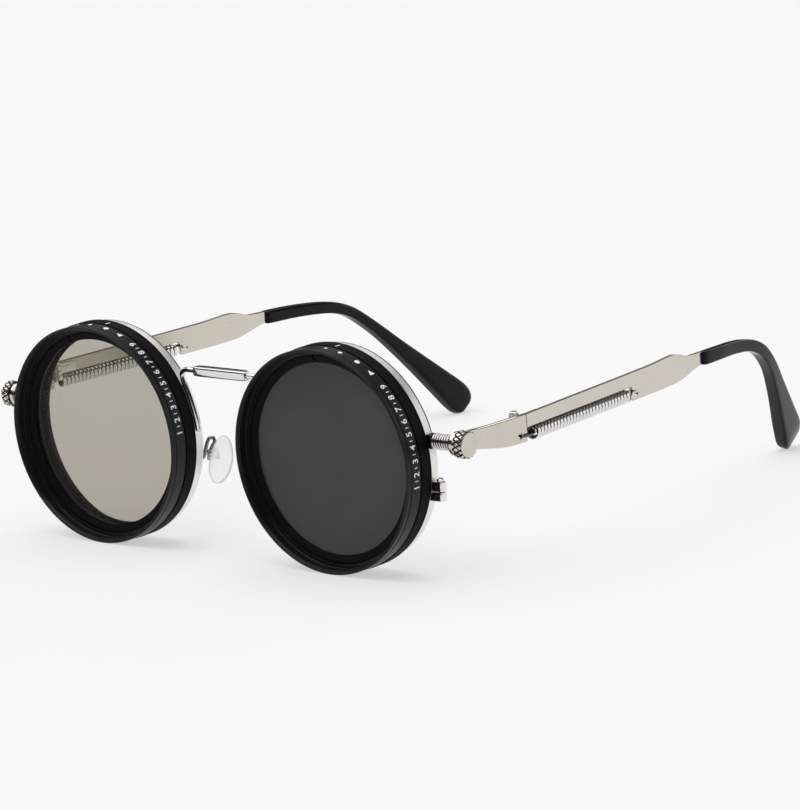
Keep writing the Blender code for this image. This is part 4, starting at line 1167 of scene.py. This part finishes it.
for side in ("left", "right"):
    flip = side == "right"
    head = cut(mesh_of("head", lock_head, flip), mesh_of("slot", lock_slot, flip))
    piece(side + "_lock_screw_head", head, "frame", [side + "_closing_screw"], POLISHED, 30)
    piece(side + "_lock_screw_thread", mesh_of("thread", threaded("Z", (64.0, 9.6, 0.0), -8.6, -4.2, 0.42, 0.34, 0.25,
                                                                   32, 8), flip), "frame", [], STEEL, 60)

with_mirror("stud_seat", block((60.8, 63.3, 8.45, 10.85, 3.6, 6.9), 0.28), ["end_block"], DARK_STEEL,
            cutters=[clear], sharp=40, soft=True)
with_mirror("stud", threaded("X", (0.0, STUD_Y, STUD_Z), 63.4, 72.6, 1.9, 1.50, 0.7, 64, 14), ["end_stud"],
            STUD, sharp=60)
with_mirror("knurled_nut", knurled_nut(), ["thumb_nut"], NUT, body="*_nut", sharp=34)
with_mirror("end_plate_bent", end_plate_shape(), ["end_plate"], SATIN,
            cutters=[cylinder_between((66.0, STUD_Y, STUD_Z), (74.0, STUD_Y, STUD_Z), 2.02, 48),
                     cylinder_between((72.0, 25.7, 4.02), (79.0, 23.95, 4.02), 0.72)], sharp=28)
temple = slab(temple_outline(), -TH, 0.0, 0.27, temple_point, steps=5)
with_mirror("side_arm", temple, ["temple"], SATIN, body="*_temple",
            cutters=[cylinder_between(temple_point(70.7, 3.68, -3.0), temple_point(70.7, 3.68, 3.0), 0.72)], sharp=28)
with_mirror("ear_tip", tip_shape(), ["temple_tip"], TIP, body="*_temple", sharp=50)

front_leaf = Shape()
for z0, z1 in (KNUCKLES[0], KNUCKLES[2]):
    knuckle(z0, z1, front_leaf)
    leaf([(HX + 0.2, HY - 1.2), (plate_inner(23.6) - 0.12, 23.6), (plate_inner(25.2) - 0.02, 25.2),
          (plate_inner(26.4) - 0.02, 26.4), (HX + 1.1, 26.4), (HX + 0.9, HY)], z0 + 0.02, z1 - 0.02, front_leaf)
with_mirror("hinge_front_leaf", front_leaf, ["hinge_leaf_front"], POLISHED, sharp=35)
in0, in1 = temple_point(27.35, 0.0, -TH - 0.10), temple_point(33.0, 0.0, -TH - 0.10)
rear_leaf = Shape()
knuckle(*KNUCKLES[1], rear_leaf)
leaf([(HX + 0.75, 27.35), (in0[0], 27.35), (in1[0], 33.0), (in1[0] - 0.9, 33.0), (HX + 0.75, 29.4)], 5.95, 8.4,
     rear_leaf)
leaf([(HX - 0.1, HY + 1.0), (HX + 0.9, HY + 0.7), (HX + 1.25, 27.6), (HX + 1.25, 28.2), (HX + 0.75, 28.2)],
     KNUCKLES[1][0] + 0.02, KNUCKLES[1][1] - 0.02, rear_leaf)
with_mirror("hinge_rear_leaf", rear_leaf, ["hinge_leaf_temple"], POLISHED, body="*_temple", sharp=35)
hinge_pin = turn(rounded([(0.0, 9.3), (0.75, 9.3, 0.10), (0.95, 9.12, 0.08), (0.95, 8.7, 0.05), (0.55, 8.7, 0),
                          (0.55, 4.8, 0.1), (0.0, 4.8)], 0.05, closed=False), (HX, HY, 0.0), "Z", 48, closed=False)
with_mirror("hinge_pin_screw", hinge_pin, ["hinge_screw"], POLISHED, sharp=30,
            cutters=[block((HX - 1.2, HX + 1.2, HY - 0.13, HY + 0.13, 9.0, 9.6), 0.02, segments=1)])

COIL = coil_steel()
for side in ("left", "right"):
    flip = side == "right"
    y0, y1 = world([(74.0, 25.2, 4.0)])[0], world([(74.0, 28.4, 4.0)])[0]
    if flip:
        y0[0], y1[0] = -y0[0], -y1[0]
    piece(side + "_coil_spring", mesh_of("spring", spring_shape(), flip), None,
          [side + "_spring"], COIL, 60,
          blend=("frame", side + "_temple", tuple(y0), tuple(y1)))

# ------------------------------------------------------------------ the bridge
half = bridge_half()
bridge_points = half + [(-x, y, z) for x, y, z in reversed(half)]
bridge_thick = np.interp([p[2] for p in bridge_points], [12.0, 14.5], [0.78, 0.65])
piece("bridge_wire_bent", mesh_of("wire", sweep(bridge_points, bridge_thick, 24, dome=0.8)), "frame", ["bridge_wire"],
      CHROME, 60)
bar_rings = []
for x, size in ((8.2, 0.62), (8.2, 0.94), (8.17, 1.02), (8.08, 1.08), (7.85, 1.15), (7.45, 1.20), (6.9, 1.225),
                (6.0, 1.235), (4.0, 1.235), (1.5, 1.235)):
    ring = []
    for k in range(72):
        a = TAU * (k + 0.5) / 72
        ca, sa = math.cos(a), math.sin(a)
        ring.append((x, 8.2 + size * math.copysign(abs(ca) ** (2 / 4.0), ca),
                     16.3 + size * math.copysign(abs(sa) ** (2 / 4.0), sa)))
    bar_rings.append(ring)
bar_rings += [[(-p[0], p[1], p[2]) for p in ring] for ring in reversed(bar_rings)]
piece("bridge_bar_sleeve", mesh_of("bar", loft(bar_rings)), "frame", ["bridge_bar"], BAR, 35)

# ---------------------------------------------------------------- the nose pads
arm = sweep(pad_arm_path(), 0.45, 20)
box = block((9.95, 12.0, PAD_Y - 1.25, PAD_Y + 1.25, PAD_Z - 1.3, PAD_Z + 1.3), 0.22)
box_slot = block((9.0, 11.35, PAD_Y - 0.8, PAD_Y + 0.8, PAD_Z - 2.0, PAD_Z + 2.0), 0.05, segments=1)
box_hole = cylinder_between((PAD_X, PAD_Y - 3.0, PAD_Z), (PAD_X, PAD_Y + 3.0, PAD_Z), 0.36, 24)
for side in ("left", "right"):
    flip = side == "right"
    piece(side + "_pad_arm_wire", mesh_of("arm", arm, flip), "frame", [side + "_nose_pad_arm"],
          ARM, 60)
    clip = cut(mesh_of("clip", box, flip), mesh_of("slot", box_slot, flip), mesh_of("hole", box_hole, flip))
    weighted(piece(side + "_pad_box", clip, "frame", [], POLISHED, 40))
    pin = turn(rounded([(0.0, -1.75), (0.55, -1.75, 0.12), (0.55, -1.33, 0.05), (0.29, -1.33, 0), (0.29, 1.4, 0.05),
                        (0.0, 1.4)], 0.05, closed=False), (PAD_X, PAD_Y, PAD_Z), "Y", 40, closed=False)
    slot_cut = block((PAD_X - 0.7, PAD_X + 0.7, PAD_Y - 2.0, PAD_Y - 1.58, PAD_Z - 0.08, PAD_Z + 0.08), 0.01, segments=1)
    piece(side + "_pad_screw", cut(mesh_of("pin", pin, flip), mesh_of("slot", slot_cut, flip)), "frame",
          [side + "_nose_pad_screw"], POLISHED, 30)
    pad_mesh = mesh_of("pad", pad_shape(), flip)
    tab = block((8.9, 11.1, PAD_Y - 0.7, PAD_Y + 0.7, PAD_Z - 0.75, PAD_Z + 0.75), 0.2)
    tab_hole = cylinder_between((PAD_X, PAD_Y - 3.0, PAD_Z), (PAD_X, PAD_Y + 3.0, PAD_Z), 0.38, 24)
    pad_mesh = cut(pad_mesh, mesh_of("tab", tab, flip), operation="UNION")
    pad_mesh = cut(pad_mesh, mesh_of("hole", tab_hole, flip))
    piece(side + "_pad_soft", pad_mesh, side + "_pad", [side + "_nose_pad"], PAD, 60)

# carried-over CAD nodes: only the hidden snap rings
for side in ("left", "right"):
    node = frame["nodes"][side + "_snap_ring"]
    for s in node.material_slots:
        s.material = STEEL

# ---------------------------------------------------------- floor, light, camera
floor_mesh = bpy.data.meshes.new("floor")
S = 6.0
floor_mesh.from_pydata([(-S, -S, 0), (S, -S, 0), (S, S, 0), (-S, S, 0)], [], [(0, 1, 2, 3)])
floor = bpy.data.objects.new("floor", floor_mesh)
bpy.context.scene.collection.objects.link(floor)
FLOOR_GREY, FLOOR_GLOW = 0.36, 0.53
fm = Nodes("floor_pale")
fm.set(Base_Color=(FLOOR_GREY, FLOOR_GREY, FLOOR_GREY, 1.0), Roughness=0.9,
       Emission_Color=(1.0, 1.0, 1.0, 1.0), Emission_Strength=FLOOR_GLOW)
fm.shader.inputs["Specular IOR Level"].default_value = 0.1
floor_mesh.materials.append(fm.mat)

OVERHEAD, WALL, DIM = 2.20, 0.95, 0.03
world_light = bpy.data.worlds.new("studio")
bpy.context.scene.world = world_light
world_light.use_nodes = True
wt = world_light.node_tree
bg = wt.nodes["Background"]


def wmath(op, a, b):
    node = wt.nodes.new("ShaderNodeMath")
    node.operation = op
    for i, x in enumerate((a, b)):
        if isinstance(x, (int, float)):
            node.inputs[i].default_value = x
        else:
            wt.links.new(x, node.inputs[i])
    return node.outputs[0]


def wstep(value, lo, hi, out_lo=0.0, out_hi=1.0):
    node = wt.nodes.new("ShaderNodeMapRange")
    node.interpolation_type = "SMOOTHSTEP"
    for name, x in (("From Min", lo), ("From Max", hi), ("To Min", out_lo), ("To Max", out_hi)):
        node.inputs[name].default_value = x
    wt.links.new(value, node.inputs["Value"])
    return node.outputs["Result"]


direction = wt.nodes.new("ShaderNodeTexCoord").outputs["Generated"]
part = wt.nodes.new("ShaderNodeSeparateXYZ")
wt.links.new(direction, part.inputs[0])
wx, wy, wz = part.outputs
# a broad soft light overhead, a pale wall behind and a dark screen low on its left; the camera's side stays dim
tilt = wmath("ADD", wmath("MULTIPLY", wy, 0.12), wmath("MULTIPLY", wx, 0.25))
over = wstep(wmath("SUBTRACT", wz, tilt), 0.70, 0.82, 0.0, OVERHEAD)
wall = wmath("MULTIPLY", wstep(wmath("SUBTRACT", wz, wmath("MULTIPLY", wx, 0.10)), 0.42, 0.62, WALL, 0.0),
             wstep(wy, -0.10, 0.40))
screen = wmath("MULTIPLY", wstep(wx, -0.58, -0.48, 1.0, 0.0), wstep(wz, 0.30, 0.40, 1.0, 0.0))
wall = wmath("MULTIPLY", wall, wmath("SUBTRACT", 1.0, wmath("MULTIPLY", screen, 0.97)))
light_sum = wmath("ADD", wmath("ADD", over, wall), DIM)
wt.links.new(light_sum, bg.inputs["Color"])
bg.inputs["Strength"].default_value = 1.0


def area(name, location, target, size, power):
    light = bpy.data.lights.new(name, "AREA")
    light.shape = "RECTANGLE"
    light.size, light.size_y = size
    light.energy = power
    obj = bpy.data.objects.new(name, light)
    obj.location = location
    obj.rotation_mode = "QUATERNION"
    obj.rotation_quaternion = (Vector(target) - Vector(location)).to_track_quat("-Z", "Y")
    bpy.context.scene.collection.objects.link(obj)
    return obj


area("soft_fill", (-0.35, -0.2, 1.3), (0.0, 0.0, 0.0), (1.0, 1.0), 0.4)

camera = bpy.data.cameras.new("camera")
camera.lens = 4726.602 * 36.0 / 810.0
camera.sensor_width = 36.0
camera.sensor_fit = "AUTO"
camera.clip_start, camera.clip_end = 0.05, 30.0
cam = bpy.data.objects.new("camera", camera)
C = Vector((751.632945, -850.686739, 251.954193)) * MM
RI = Vector((0.753219, 0.654328, -0.067206))
UP = Vector((-0.080906, 0.193558, 0.977747))
BACK = Vector((0.652775, -0.73102, 0.198731))
cam.matrix_world = Matrix(((RI.x, UP.x, BACK.x, C[0]), (RI.y, UP.y, BACK.y, C[1]), (RI.z, UP.z, BACK.z, C[2]),
                           (0, 0, 0, 1)))
bpy.context.scene.collection.objects.link(cam)
bpy.context.scene.camera = cam
bpy.context.scene.view_settings.view_transform = "Standard"
bpy.context.scene.view_settings.look = "None"
bpy.context.scene.view_settings.exposure = 0.0
bpy.context.scene.view_settings.gamma = 1.0
